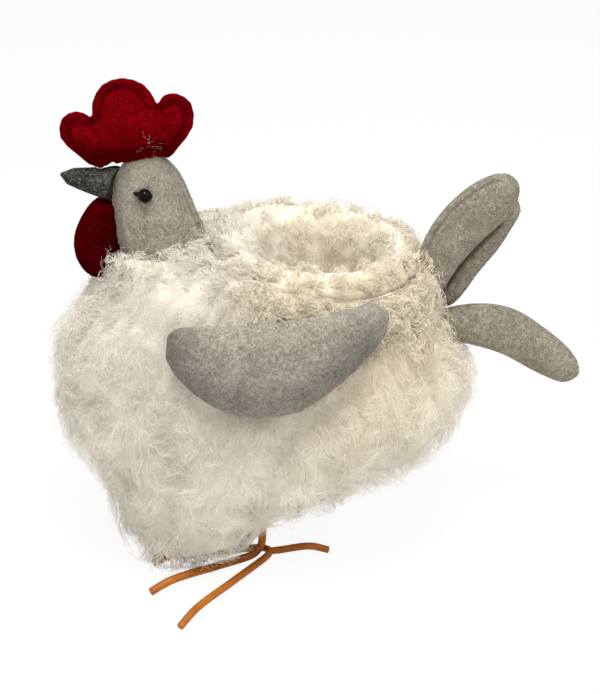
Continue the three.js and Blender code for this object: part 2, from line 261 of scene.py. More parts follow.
# %% Colours and nodes
def shade(code):
    parts = [int(code[i:i + 2], 16) / 255 for i in (1, 3, 5)]
    return (*[p / 12.92 if p <= 0.04045 else ((p + 0.055) / 1.055) ** 2.4 for p in parts], 1)


def set_inputs(material, node, inputs):
    """Links each named input of a node to an output, or sets it to a value."""
    for name, value in inputs.items():
        if isinstance(value, bpy.types.NodeSocket):
            material.node_tree.links.new(value, node.inputs[name])
        else:
            node.inputs[name].default_value = value


def add_node(material, kind, inputs=None, **settings):
    made = material.node_tree.nodes.new(kind)
    for name, value in settings.items():
        setattr(made, name, value)
    set_inputs(material, made, inputs or {})
    return made


def blend(material, share, first, second, **settings):
    """A colour between two others."""
    return add_node(material, "ShaderNodeMix", {"Factor": share, "A": first, "B": second},
                    data_type="RGBA", **settings).outputs["Result"]


def new_material(name):
    """An empty material, its principled shader and the object's coordinates."""
    material = bpy.data.materials.new(name)
    material.use_nodes = True
    shader = material.node_tree.nodes["Principled BSDF"]
    place = add_node(material, "ShaderNodeTexCoord").outputs["Object"]
    return material, shader, place


def dress(item, material, slot):
    item.data.materials.clear()
    item.data.materials.append(material)


# %% [markdown]
# ## Wool felt
#
# Wool felt is pressed from short fibres that run every way, with no weave. Heather grey felt
# is pressed from fibres of several greys, so from near it is flecked, and from far it is one
# soft grey. It scatters light evenly and has no gloss, but its loose surface fibres catch
# light at a glancing angle, which is what sheen does. A fibre is 0.03 mm thick, far too fine
# to show, so the flecks are drawn as tufts of fibres, 0.7 and 1.7 mm across. A vertex
# attribute paints shade into the felt's colour where the thread pulls it in and where no light
# gets to it.


# %% Wool felt
FLECK = 0.7 * MM
TUFT = 1.7 * MM
PATCH = 10 * MM
# How much the painted shade darkens the felt where its attribute is 1.
PAINTED_SHADE_STRENGTH = 0.55


def wool_felt(name, light, middle, dark, gloss=0.1, sheen=0.1, spread=0.1):
    """Pressed wool felt from fibres of three shades. A smaller spread parts them sharply."""
    material, shader, place = new_material(name)
    noises = {}
    for label, size, detail, twist in (("fleck", FLECK, 2, 0.8), ("tuft", TUFT, 2, 1.2),
                                       ("patch", PATCH, 2, 0.0)):
        noises[label] = add_node(material, "ShaderNodeTexNoise", {
            "Vector": place, "Scale": 1 / size, "Detail": detail, "Roughness": 0.6,
            "Distortion": twist}).outputs["Fac"]
    fine = add_node(material, "ShaderNodeMix", {
        "Factor": 0.6, "A": noises["fleck"], "B": noises["tuft"]})
    tone = add_node(material, "ShaderNodeMix", {
        "Factor": 0.18, "A": fine.outputs["Result"], "B": noises["patch"]}).outputs["Result"]
    low_share = add_node(material, "ShaderNodeMapRange", {
        "Value": tone, "From Min": 0.5 - spread, "From Max": 0.5})
    high_share = add_node(material, "ShaderNodeMapRange", {
        "Value": tone, "From Min": 0.5, "From Max": 0.5 + spread})
    ground = blend(material, low_share.outputs["Result"], shade(dark), shade(middle))
    flecked = blend(material, high_share.outputs["Result"], ground, shade(light))
    # Painted shade: where the attribute is high, the colour goes towards half the felt's darkest
    # colour.
    seam = add_node(material, "ShaderNodeAttribute", attribute_name="seam")
    seam_share = add_node(material, "ShaderNodeMath", {
        0: seam.outputs["Fac"], 1: PAINTED_SHADE_STRENGTH}, operation="MULTIPLY", use_clamp=True)
    in_the_seam = tuple(0.5 * c for c in shade(dark)[:3]) + (1,)
    relief = add_node(material, "ShaderNodeBump", {
        "Height": tone, "Strength": 0.8, "Distance": 0.5 * MM})
    set_inputs(material, shader, {
        "Base Color": blend(material, seam_share.outputs[0], flecked, in_the_seam),
        "Normal": relief.outputs["Normal"], "Roughness": 0.95, "Specular IOR Level": gloss,
        "Sheen Weight": sheen, "Sheen Roughness": 0.6})
    return material


heather_felt = wool_felt("heather_grey_wool_felt", "#bdb8a9", "#969083", "#645f55",
                         spread=0.16)
tail_felt = wool_felt("heather_brown_grey_wool_felt", "#aea796", "#878070", "#5a554a",
                      spread=0.16)
head_felt = wool_felt("heather_pale_grey_wool_felt", "#b9b2a3", "#958e7f", "#686257",
                      spread=0.15)
crimson_felt = wool_felt("crimson_wool_felt", "#8c040f", "#690208", "#400103",
                         gloss=0.0, sheen=0.0, spread=0.16)
# The wattle's felt is the comb's crimson felt with shade painted in: a darker copy of the same
# felt.
crimson_felt_in_painted_shade = wool_felt("crimson_wool_felt_painted_darker", "#640308", "#400204", "#260102",
                      gloss=0.0, sheen=0.0, spread=0.16)
charcoal_felt = wool_felt("charcoal_wool_felt", "#6d6e68", "#3a3935", "#1d1c1a",
                          gloss=0.05, sheen=0.0, spread=0.13)

# %% [markdown]
# ## Stuffed felt cushions
#
# Each felt part is two panels sewn round their edge, turned and stuffed with wadding. It is
# crowned in the middle and flat at the seam. Here the two panels and the wadding between them
# are widened by a hair so that they touch, fused by a voxel remesh and pressed flat a little.
# Then a cloth simulation with air pressure blows them up while the seam is pinned, which is
# what stuffing does to felt. The simulation runs at ten times the real size, because cloth
# settings are made for things the size of a sofa cushion. A cap stops any point from moving
# more than 0.6 mm in the beak and 5 mm in the wings.

# %% Cushions ready for the simulation
SIM_SCALE = 10
WIDENED = 0.6 * MM
THINNED_BACK = 0.5 * MM
OUTLINE_BACK = 0.25 * MM
SEAM_FACING = 0.5
PRESSED = 0.86
ACROSS = (0.0, 1.0, 0.0)
WING_LEAN = math.radians(5)
cushions = {}


def felt_cushion(name, voxel, swell, thick_way=ACROSS, margin=1.2 * MM, rounding=4, gap=0.0):
    """A cushion fused from its panels and wadding. thick_way is square to its seam, and swell
    is the most that a point may move. The seam's margin is pinned. gap is how much more the
    solids are widened for a while, to close a slot between them."""
    made = solid_copy(name, *panels(name))
    shape_with(made, "DISPLACE", strength=WIDENED + gap, mid_level=0)
    shape_with(made, "REMESH", mode="VOXEL", voxel_size=voxel)
    keep_largest_shell(made)
    evened(made, 10)
    normals = columns(made.data.vertices, "normal")
    facing = normals @ np.array(thick_way)
    through = np.outer(facing, thick_way)
    points = columns(made.data.vertices, "co")
    points -= (THINNED_BACK + gap) * through + (OUTLINE_BACK + gap) * (normals - through)
    rim = np.flatnonzero(np.abs(facing) < SEAM_FACING)
    tree = point_tree(points[rim])
    from_rim = points - np.array([tree.find(p)[0] for p in points])
    depth = from_rim @ np.array(thick_way)
    inner = np.linalg.norm(from_rim - np.outer(depth, thick_way), axis=1) > margin
    inner &= np.abs(facing) >= SEAM_FACING
    pinned = made.vertex_groups.new(name="pinned_seam")
    pinned.add(np.flatnonzero(~inner).tolist(), 1.0, "REPLACE")
    cushions[name] = {"object": made, "full": points.copy(), "cap": swell,
                      "rounding": rounding, "thick_way": thick_way}
    points[inner] -= np.outer(depth[inner] * (1 - PRESSED), thick_way)
    place_vertices(made, points * SIM_SCALE)
    return made


def panels(name):
    """The names of the two panels and the wadding that a cushion is made from."""
    sides = ("outer", "inner") if name.startswith(("tail_upper", "wing")) else ("left", "right")
    return [f"{name}_{side}_panel" for side in sides] + [f"{name}_wadding"]


felt_cushion("head", voxel=0.9 * MM, swell=1.5 * MM, gap=1.5 * MM)
felt_cushion("comb", voxel=0.7 * MM, swell=2.2 * MM, margin=3.6 * MM)
felt_cushion("wattle", voxel=0.7 * MM, swell=1.4 * MM)
felt_cushion("beak", voxel=0.6 * MM, swell=0.6 * MM, margin=0.8 * MM)
for name, swell in (("tail_upper_left", 1.5 * MM), ("tail_upper_right", 1.5 * MM),
                    ("tail_lower", 2.5 * MM)):
    felt_cushion(name, voxel=0.8 * MM, swell=swell, rounding=30)
for side_name, side in (("left", LEFT), ("right", RIGHT)):
    lean_way = (0.0, math.cos(WING_LEAN), -side * math.sin(WING_LEAN))
    felt_cushion(f"wing_{side_name}", voxel=1.0 * MM, swell=5.0 * MM, thick_way=lean_way,
                 rounding=30)
print("cushions", {name: len(c["object"].data.vertices) for name, c in cushions.items()})

# %% [markdown]
# All cushions swell at the same time, over twenty frames. Afterwards each one is put back to
# its real size, its cap is applied, and its faces are evened out, so that the felt is smooth.

# %% Swelling the cushions
SIM_FRAMES = 20
STUFFING_PRESSURE = 12.0


def swell_all():
    for entry in cushions.values():
        cloth = entry["object"].modifiers.new("stuffing", "CLOTH")
        cloth.settings.quality = 4
        cloth.settings.use_pressure = True
        cloth.settings.uniform_pressure_force = STUFFING_PRESSURE
        cloth.settings.vertex_group_mass = "pinned_seam"
        cloth.settings.effector_weights.gravity = 0
        cloth.collision_settings.use_collision = False
        cloth.collision_settings.use_self_collision = False
        cloth.point_cache.frame_start, cloth.point_cache.frame_end = 1, SIM_FRAMES
    for step in range(1, SIM_FRAMES + 1):
        bpy.context.scene.frame_set(step)
    for entry in cushions.values():
        pick(entry["object"])
        bpy.ops.object.modifier_apply(modifier="stuffing")
    bpy.context.scene.frame_set(1)


swell_all()
for name, entry in cushions.items():
    made, full = entry["object"], entry["full"]
    moved = columns(made.data.vertices, "co") / SIM_SCALE - full
    reach = np.linalg.norm(moved, axis=1).max()
    moved *= min(1, entry["cap"] / max(reach, 1e-9))
    print(name, "wanted to move", round(float(reach) / MM, 2), "mm")
    print(name, "moved at most", round(float(np.linalg.norm(moved, axis=1).max()) / MM, 2), "mm")
    place_vertices(made, full + moved)
    made.vertex_groups.clear()
    evened(made, entry["rounding"])
    pick(made)
    bpy.ops.object.shade_smooth()

# %% [markdown]
# ## Outlines and seams
#
# The solids' outlines have small corners. Real panels are cut along round lines, so the rim of
# each cushion is found by cutting it along its seam, the rim's line is evened, and the felt
# near it follows.
#
# A seam pulls the felt in along a line. One function pushes the vertices near a line of points
# inward and records how near they are in a vertex attribute, which paints shade into the felt's
# colour there. With a depth of 0 it only paints a soft shadow. The comb is the only part whose
# seam is sewn from outside: its stitches run 3.5 mm inside the raw edge. Its line is found by
# cutting the cushion along its middle plane and moving the cut inward.


# %% Lines on a cushion
OFF_VERTICES = 0.013 * MM


def first_of(vertices):
    """The same one of some vertices in every run."""
    return min(vertices, key=lambda vertex: tuple(vertex.co))


def cut_outline(item, point, way):
    """The longest closed line where a plane cuts a cushion, as a row of points."""
    work = bmesh.new()
    work.from_mesh(item.data)
    missing_all_vertices = Vector(point) + OFF_VERTICES * Vector(way)
    cut = bmesh.ops.bisect_plane(
        work, geom=work.verts[:] + work.edges[:] + work.faces[:],
        plane_co=missing_all_vertices, plane_no=way, clear_outer=True)
    edges = [e for e in cut["geom_cut"] if isinstance(e, bmesh.types.BMEdge)]
    joined = {}
    for edge in edges:
        for here, there in (edge.verts, reversed(edge.verts)):
            joined.setdefault(here, []).append(there)
    lines, todo = [], set(joined)
    while todo:
        start = here = first_of(todo)
        todo.discard(start)
        line = [start.co.copy()]
        while True:
            onward = [v for v in joined[here] if v in todo]
            if not onward:
                break
            here = first_of(onward)
            todo.discard(here)
            line.append(here.co.copy())
        lines.append(line)
    work.free()
    return np.array(max(lines, key=len))


def evenly(line, spacing, closed=True):
    """The same line with points at an even distance."""
    row = np.vstack([line, line[:1]]) if closed else np.asarray(line)
    along = np.concatenate([[0], np.cumsum(np.linalg.norm(np.diff(row, axis=0), axis=1))])
    count = max(3, round(along[-1] / spacing))
    wanted = np.linspace(0, along[-1], count, endpoint=not closed)
    return np.column_stack([np.interp(wanted, along, row[:, k]) for k in range(3)])


def rounded(line, passes, closed=True):
    for _ in range(passes):
        if closed:
            line = (np.roll(line, 1, 0) + 2 * line + np.roll(line, -1, 0)) / 4
        else:
            line[1:-1] = (line[:-2] + 2 * line[1:-1] + line[2:]) / 4
    return line


def moved_inward(line, distance):
    """An upright closed line in the XZ plane, moved towards its inside."""
    ahead = np.roll(line, -1, 0) - np.roll(line, 1, 0)
    area = np.sum(line[:, 0] * np.roll(line[:, 2], -1) - np.roll(line[:, 0], -1) * line[:, 2])
    turn = 1 if area > 0 else -1
    inward = np.column_stack([-ahead[:, 2], 0 * ahead[:, 0], ahead[:, 0]]) * turn
    inward /= np.linalg.norm(inward, axis=1, keepdims=True)
    return line + distance * inward


def tree_of(item):
    return BVHTree.FromPolygons(
        [tuple(v.co) for v in item.data.vertices],
        [tuple(p.vertices) for p in item.data.polygons])


def on_surface(tree, point, way, reach=60 * MM):
    """Where a ray that comes from outside along way first meets a cushion, with the normal."""
    start = Vector(point) - Vector(way) * reach
    place, normal, _, _ = tree.ray_cast(start, Vector(way))
    return place, normal


def thrown(tree, line, way, reach=60 * MM):
    """A line of points thrown along way onto a cushion. Points that miss it are left out."""
    found = [on_surface(tree, point, way, reach)[0] for point in line]
    return np.array([place for place in found if place is not None])


def sink_seam(item, line, depth, width, dark=1.0):
    """Pulls a cushion in along a line, and paints shade into its colour there by an attribute."""
    points = columns(item.data.vertices, "co")
    normals = columns(item.data.vertices, "normal")
    tree = point_tree(line)
    away = np.array([tree.find(p)[2] for p in points])
    pull = np.exp(-((away / width) ** 2))
    place_vertices(item, points - normals * (depth * pull)[:, None])
    known = item.data.attributes.get("seam")
    if known is None:
        known = item.data.attributes.new("seam", "FLOAT", "POINT")
        known.data.foreach_set("value", np.zeros(len(points), np.float32))
    before = np.empty(len(points), np.float32)
    known.data.foreach_get("value", before)
    known.data.foreach_set("value", np.maximum(before, dark * pull).astype(np.float32))


# %% [markdown]
# A few places differ from their solids, as they do on the real hen. The left wing's two ends
# are blunter, the comb's lower edge arches over the beak, and the beak sits a little lower.
# Then all outlines are rounded.

# %% Rounded outlines
def seam_place(name):
    """The middle of a cushion. Those of the body lie in the middle plane."""
    if not name.startswith(("tail_upper", "wing")):
        return Vector((0, 0, 0))
    low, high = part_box(f"{name}_wadding")
    return (low + high) / 2


def rim_of(name, passes=3, spacing=1.0 * MM):
    way = cushions[name]["thick_way"]
    return rounded(evenly(cut_outline(cushions[name]["object"], seam_place(name), way),
                          spacing), passes)


def round_off(name, spacing, reach=6 * MM):
    """Rounds the corners of a cushion's outline that are small against 13 spacings."""
    item = cushions[name]["object"]
    rim = rim_of(name, 0, spacing)
    smooth = rim.copy()
    for share in PULL_AND_PUSH * 60:
        middle = (np.roll(smooth, 1, 0) + np.roll(smooth, -1, 0)) / 2
        smooth += share * (middle - smooth)
    tree = point_tree(rim)
    points = columns(item.data.vertices, "co")
    for index, point in enumerate(points):
        _, nearest, away = tree.find(point)
        points[index] += (smooth - rim)[nearest] * math.exp(-((away / reach) ** 2))
    place_vertices(item, points)


def pushed(item, centre, push, width):
    """Moves the felt near a place, given as x and z, by the push."""
    points = columns(item.data.vertices, "co")
    away = np.hypot(points[:, 0] - centre[0], points[:, 2] - centre[1])
    place_vertices(item, points + np.outer(np.exp(-((away / width) ** 2)), push))


def upper_edge(item, x):
    points = columns(item.data.vertices, "co")
    return points[np.abs(points[:, 0] - x) < 1 * MM, 2].max()


FINE_OUTLINE, SOFT_OUTLINE = 0.35 * MM, 1.6 * MM
BEAK_LOWERED = 0.7 * MM
COMB_NOTCH = (LEG_X - 68.5 * MM, 193 * MM)
wing = cushions["wing_left"]["object"]
wing_front, wing_back = (f(v.co.x for v in wing.data.vertices) for f in (min, max))
for x, push in ((wing_front + 6 * MM, (-0.8 * MM, 0, 2.6 * MM)),
                (wing_back - 7 * MM, (0, 0, 2.6 * MM))):
    pushed(wing, (x, upper_edge(wing, x)), push, width=7 * MM)
pushed(cushions["comb"]["object"], COMB_NOTCH, push=(0, 0, 4.2 * MM), width=4.5 * MM)
beak_points = columns(cushions["beak"]["object"].data.vertices, "co")
place_vertices(cushions["beak"]["object"], beak_points - np.array([0, 0, BEAK_LOWERED]))
for name in cushions:
    round_off(name, FINE_OUTLINE if name in ("comb", "beak") else SOFT_OUTLINE)

# %% [markdown]
# The comb is flat round its edge, so it is pressed there. Its stitched line is thrown onto both
# sides, sunk and given painted shade. The seams of the tail and the wattle are drawn in along
# their rims, with painted shade in them. Shade is painted into the felt where little light gets
# in: at the comb's foot, on the head below it, and along the lower edges of the wings.

# %% The comb's stitched line and the rims of the cushions
COMB_MARGIN = 3.5 * MM


def press_margin(name, rim, half_margin, width, half_middle):
    """Presses a cushion flat along its rim. Its half thickness grows over the width."""
    item = cushions[name]["object"]
    points = columns(item.data.vertices, "co")
    tree = point_tree(flattened(rim))
    away = np.array([tree.find(p)[2] for p in flattened(points)])
    most = half_margin + (half_middle - half_margin) * smoothstep(0.6 * MM, width, away)
    points[:, 1] = np.sign(points[:, 1]) * np.minimum(np.abs(points[:, 1]), most)
    place_vertices(item, points)
    evened(item, 2)


comb = cushions["comb"]["object"]
comb_edge = rim_of("comb")
press_margin("comb", comb_edge, half_margin=1.3 * MM, width=7 * MM, half_middle=8 * MM)
comb_tree = tree_of(comb)
comb_line = moved_inward(rounded(comb_edge, 4), COMB_MARGIN)
inward = (comb_line - comb_edge) / COMB_MARGIN
on_the_head = (inward[:, 2] > 0.7) & (inward[:, 0] < 0.35)
stitch_lines = {}
for side_name, side in (("left", LEFT), ("right", RIGHT)):
    found = []
    for point in rounded(comb_line, 2)[~on_the_head]:
        place, normal = on_surface(comb_tree, point, (0, -side, 0))
        if place is not None:
            found.append((place, normal))
    stitch_lines[side_name] = found
for found in stitch_lines.values():
    line = np.array([place for place, _ in found])
    # The stitched groove is sunk with painted shade, and a wider band of painted shade lies round
    # it.
    sink_seam(comb, line, depth=0.9 * MM, width=1.1 * MM)
    sink_seam(comb, line, depth=0, width=3 * MM, dark=0.55)
foot_line = comb_edge[on_the_head]
# Painted shadow at the comb's foot.
sink_seam(comb, foot_line, depth=0, width=11 * MM, dark=0.75)
print("stitched line", {name: len(found) for name, found in stitch_lines.items()}, "points")
# The rims of the tail feathers and the wattle are sunk with painted shade in the groove.
for name in ("tail_upper_left", "tail_upper_right", "tail_lower", "wattle"):
    sink_seam(cushions[name]["object"], rim_of(name), depth=0.35 * MM, width=0.6 * MM)
# Painted shade along the lower half of each wing's rim.
for name in ("wing_left", "wing_right"):
    rim = rim_of(name)
    below = rim[rim[:, 2] < rim[:, 2].mean()]
    sink_seam(cushions[name]["object"], below, depth=0, width=16 * MM, dark=1.05)
# Painted shadow of the comb on the head.
sink_seam(cushions["head"]["object"], foot_line, depth=0, width=16 * MM, dark=0.8)

# %% [markdown]
# The head's seam shows as a line close to its back edge. The left upper feather has such a
# line along its upper edge. Both are found from the rim of the cushion, moved inward and thrown
# onto its side, and sunk with painted shade in them. Where the camera sees the two upper
# feathers meet, the right one is drawn into a fold with strong painted shade. The beak's root is
# tucked into the head, so it is squeezed thin there. The bead eye is sewn on tight, so the felt
# is drawn in round it.

# %% Seam lines on the head and the feather, and the eyes' dimples
SEAM_ALLOWANCE = 1.6 * MM
NAPE_LOW, NAPE_HIGH = 140 * MM, 195 * MM
head = cushions["head"]["object"]
head_tree = tree_of(head)
head_rim = rim_of("head")
head_line = moved_inward(head_rim, SEAM_ALLOWANCE)
middle_of_head = sum(corner.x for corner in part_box("head_wadding")) / 2
behind = head_line[:, 0] > middle_of_head + 4 * MM
head_line = head_line[behind & (head_line[:, 2] > NAPE_LOW) & (head_line[:, 2] < NAPE_HIGH)]
for side in (LEFT, RIGHT):
    seam_line = thrown(head_tree, head_line, (0, -side, 0))
    # A sunk seam line with painted shade in it.
    sink_seam(head, seam_line, depth=0.7 * MM, width=0.8 * MM)

FEATHER_SEAM = 2.4 * MM
FOLD_BELOW_RIM = 0.7 * MM
FOLD_SHARE = 0.66
feather = cushions["tail_upper_left"]["object"]
feather_tree = tree_of(feather)
feather_rim = rim_of("tail_upper_left")
line = moved_inward(feather_rim, FEATHER_SEAM)
tip = line[np.argmax(line[:, 2])]
base = line[np.argmin(line[:, 2])]
rise, run = tip[2] - base[2], tip[0] - base[0]
upper = (line[:, 0] - base[0]) * rise < (line[:, 2] - base[2]) * run
seam_line = thrown(feather_tree, line[upper], (0, 1, 0))
# A sunk seam line with painted shade in it.
sink_seam(feather, seam_line, depth=0.4 * MM, width=0.7 * MM)
other_feather = cushions["tail_upper_right"]["object"]
other_tree = tree_of(other_feather)
low_part = ~upper & (line[:, 2] < base[2] + FOLD_SHARE * rise)
just_below = moved_inward(feather_rim, -FOLD_BELOW_RIM)[low_part]
fold = thrown(other_tree, just_below, -camera_back, reach=0)
sink_seam(other_feather, fold, depth=2.4 * MM, width=1.5 * MM)
# Strong painted shade in the fold between the feathers.
sink_seam(other_feather, fold, depth=0, width=1.7 * MM, dark=2.4)
print("fold between the upper feathers", len(fold), "points")


def within(outline, points):
    """Whether points lie inside a closed line, as seen from the side."""
    x, z = points[:, 0], points[:, 2]
    inside = np.zeros(len(points), bool)
    for here, there in zip(outline, np.roll(outline, -1, 0)):
        crosses = (here[2] > z) != (there[2] > z)
        share = (z - here[2]) / ((there[2] - here[2]) or 1e-9)
        inside ^= crosses & (x < here[0] + share * (there[0] - here[0]))
    return inside


beak = cushions["beak"]["object"]
points = columns(beak.data.vertices, "co")
head_rim_tree = point_tree(flattened(head_rim))
inside = within(head_rim, points)
deep = np.array([head_rim_tree.find(p)[2] for p in flattened(points)])
deep *= np.where(inside, 1, -1)
points[:, 1] *= 1 - 0.95 * smoothstep(-1.6 * MM, 0.3 * MM, deep)
place_vertices(beak, points)
print("beak vertices tucked into the head", int(inside.sum()))


EYE_RADIUS = 3.3 * MM


def eye_centre(side_name, side):
    low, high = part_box(f"eye_{side_name}")
    outermost = low.y if side == LEFT else high.y
    return Vector(((low.x + high.x) / 2, outermost - side * EYE_RADIUS, (low.z + high.z) / 2))


def dimple(item, centre, depth, width):
    points = columns(item.data.vertices, "co")
    away = np.linalg.norm(points - np.array(centre), axis=1)
    pull = np.exp(-((away / width) ** 2))
    inward = np.array([0, -math.copysign(1, centre[1]), 0])
    place_vertices(item, points + np.outer(depth * pull, inward))


for side_name, side in (("left", LEFT), ("right", RIGHT)):
    dimple(head, eye_centre(side_name, side), depth=0.9 * MM, width=5 * MM)

# %% [markdown]
# ## Thread
#
# Sewing thread is spun from two or three plies of about 0.15 mm, so a stitch is a short
# rounded bar that dips into the felt at both ends. One stitch is modelled from a small ball:
# it is stretched, and its ends are bent down. Copies of it follow the stitched line.


# %% Thread and stitches
def sewing_thread(name, light, dark):
    material, shader, place = new_material(name)
    twist = add_node(material, "ShaderNodeTexNoise", {
        "Vector": place, "Scale": 1 / (0.5 * MM), "Detail": 2})
    relief = add_node(material, "ShaderNodeBump", {
        "Height": twist.outputs["Fac"], "Strength": 0.4, "Distance": 0.1 * MM})
    set_inputs(material, shader, {
        "Base Color": blend(material, twist.outputs["Fac"], shade(dark), shade(light)),
        "Normal": relief.outputs["Normal"], "Roughness": 0.8, "Specular IOR Level": 0.1})
    return material


red_thread = sewing_thread("crimson_cotton_thread", "#6d0409", "#3c0104")
black_thread = sewing_thread("black_polyester_thread", "#1b1a19", "#080808")

STITCH = 1.5 * MM
STITCH_GAP = 0.7 * MM
STITCH_BENT = 0.35 * MM
STITCH_SUNK = 0.45 * MM
THREAD = 0.24 * MM
JUMP = 4 * MM


def one_stitch(name):
    bpy.ops.object.select_all(action="DESELECT")
    bpy.ops.mesh.primitive_uv_sphere_add(segments=6, ring_count=5, radius=1)
    made = bpy.context.object
    made.name = made.data.name = name
    points = columns(made.data.vertices, "co")
    long = points[:, 2].copy()
    stretched = np.column_stack([
        long * STITCH / 2, points[:, 1] * THREAD, points[:, 0] * THREAD])
    stretched[:, 2] -= STITCH_BENT * long ** 2
    place_vertices(made, stretched)
    made.data.flip_normals()
    pick(made)
    bpy.ops.object.shade_smooth()
    return made


def sew(name, rows, material, slot):
    """Copies of one stitch along rows of (place, normal). None goes over a jump in a row."""
    stitch = one_stitch(name + "_one")
    copies = []
    for row in rows:
        places = np.array([place for place, _ in row])
        travelled = 0.0
        for index in range(1, len(row)):
            step = Vector(places[index] - places[index - 1])
            travelled += step.length
            if step.length > JUMP:
                travelled = 0.0
                continue
            if travelled < STITCH + STITCH_GAP:
                continue
            travelled = 0.0
            normal = row[index][1].normalized()
            along = (step - step.dot(normal) * normal).normalized()
            across = normal.cross(along)
            turn = Matrix((along, across, normal)).transposed().to_4x4()
            sunk = Vector(places[index]) - STITCH_SUNK * normal
            copy = new_object(name, stitch.data.copy())
            copy.data.transform(Matrix.Translation(sunk) @ turn)
            copies.append(copy)
    bpy.data.objects.remove(stitch)
    pick(*copies)
    bpy.ops.object.join()
    made = bpy.context.object
    made.name = made.data.name = name
    dress(made, material, slot)
    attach(made, "root")
    print(name, len(copies), "stitches")


sew("comb_stitches", stitch_lines.values(), red_thread, "red_felt")

# %% [markdown]
# ## Putting the cushions in their places
#
# Every cushion stands for the two panels and the wadding that it was made from. The wings ride
# on their own bodies, which lift, and the rest is sewn fast to the body.

# %% Materials, bodies and solids of the cushions
looks = {
    "head": (head_felt, "grey_felt", "root"),
    "comb": (crimson_felt, "red_felt", "root"),
    "wattle": (crimson_felt_in_painted_shade, "red_felt", "root"),
    "beak": (charcoal_felt, "charcoal_felt", "root"),
    "tail_upper_left": (tail_felt, "grey_felt", "root"),
    "tail_upper_right": (tail_felt, "grey_felt", "root"),
    "tail_lower": (tail_felt, "grey_felt", "root"),
    "wing_left": (heather_felt, "grey_felt", "wing_left"),
    "wing_right": (heather_felt, "grey_felt", "wing_right"),
}
for name, (material, slot, body) in looks.items():
    made = cushions[name]["object"]
    made.name = made.data.name = "felt_" + name
    dress(made, material, slot)
    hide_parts(*panels(name))
    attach(made, body)

# %% [markdown]
# ## Bead eyes
#
# The eyes are glass beads with a hole along the head's length. A black thread comes out at
# each end of the hole and goes down into the felt. Where it leaves the hole it is drawn far
# thicker than thread, so the dark point in front of the bead is partly thread and partly
# painted shade. The bead is a ball whose two ends are pushed in to make the hole's funnels.


# %% Glass beads and their thread
def bead_glass():
    material, shader, place = new_material("black_pressed_glass")
    flow = add_node(material, "ShaderNodeTexNoise", {
        "Vector": place, "Scale": 1 / (2.5 * MM), "Detail": 1})
    relief = add_node(material, "ShaderNodeBump", {
        "Height": flow.outputs["Fac"], "Strength": 0.15, "Distance": 0.1 * MM})
    set_inputs(material, shader, {
        "Base Color": blend(material, flow.outputs["Fac"], shade("#020202"), shade("#090909")),
        "Normal": relief.outputs["Normal"], "Roughness": 0.06, "IOR": 1.52,
        "Specular IOR Level": 0.09})
    return material


glass = bead_glass()
HOLE_RADIUS = 0.7 * MM
HOLE_DEPTH = 0.9 * MM
for side_name, side in (("left", LEFT), ("right", RIGHT)):
    centre = eye_centre(side_name, side)
    bpy.ops.object.select_all(action="DESELECT")
    bpy.ops.mesh.primitive_uv_sphere_add(segments=32, ring_count=24, radius=EYE_RADIUS)
    bead = bpy.context.object
    bead.name = bead.data.name = f"bead_eye_{side_name}"
    points = columns(bead.data.vertices, "co")
    round_hole = np.hypot(points[:, 0], points[:, 1])
    funnel = HOLE_DEPTH * np.exp(-((round_hole / HOLE_RADIUS) ** 2))
    points[:, 2] -= np.sign(points[:, 2]) * funnel
    hole_way = Vector((1, side * 0.18, -0.12)).normalized()
    turn = Vector((0, 0, 1)).rotation_difference(hole_way).to_matrix()
    place_vertices(bead, points @ np.array(turn).T + np.array(centre))
    pick(bead)
    bpy.ops.object.shade_smooth()
    dress(bead, glass, "black_bead")
    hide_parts(f"eye_{side_name}")
    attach(bead, "root")

    sideways = Vector((0, side * MM, 0))
    front = centre - hole_way * (EYE_RADIUS - HOLE_DEPTH)
    back = centre + hole_way * (EYE_RADIUS - HOLE_DEPTH)
    # Each thread leaves the hole, bends over its edge and goes down into the felt.
    knot_path = [
        [front, front - hole_way * 2.0 * MM - 0.5 * sideways,
         front - hole_way * 3.4 * MM - 2.2 * sideways],
        [back, back + hole_way * 0.5 * MM - 0.6 * sideways,
         back + hole_way * 0.6 * MM - 3.0 * sideways],
    ]
    data = bpy.data.curves.new(f"eye_thread_{side_name}", "CURVE")
    data.dimensions = "3D"
    data.bevel_depth = 0.6 * MM
    data.bevel_resolution = 3
    data.use_fill_caps = True
    for path in knot_path:
        spline = data.splines.new("NURBS")
        spline.points.add(len(path) - 1)
        # The thread is widest at the hole, where its black also stands for painted shade.
        for target, point, radius in zip(spline.points, path, (2.3, 1.6, 0.5)):
            target.co = (*point, 1)
            target.radius = radius
        spline.use_endpoint_u = True
        spline.order_u = 3
    loops = new_object(f"eye_thread_{side_name}", data)
    pick(loops)
    bpy.ops.object.convert(target="MESH")
    loops = bpy.context.object
    bpy.ops.object.shade_smooth()
    dress(loops, black_thread, "black_bead")
    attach(loops, "root")

# %% [markdown]
# ## Wire feet
#
# The feet are bent from thick craft wire with an ochre coat of lacquer. The frame's wires are
# eight-sided. A copy of each is turned back into four-sided faces, widened by the amount that
# smoothing takes off an eight-sided tube and by a coat of lacquer, and smoothed with a
# subdivision surface. The cut ends are creased, so that they stay flat with a small rounded
# edge. The lacquer's colour varies unevenly in lighter and darker patches, with a soft gloss.


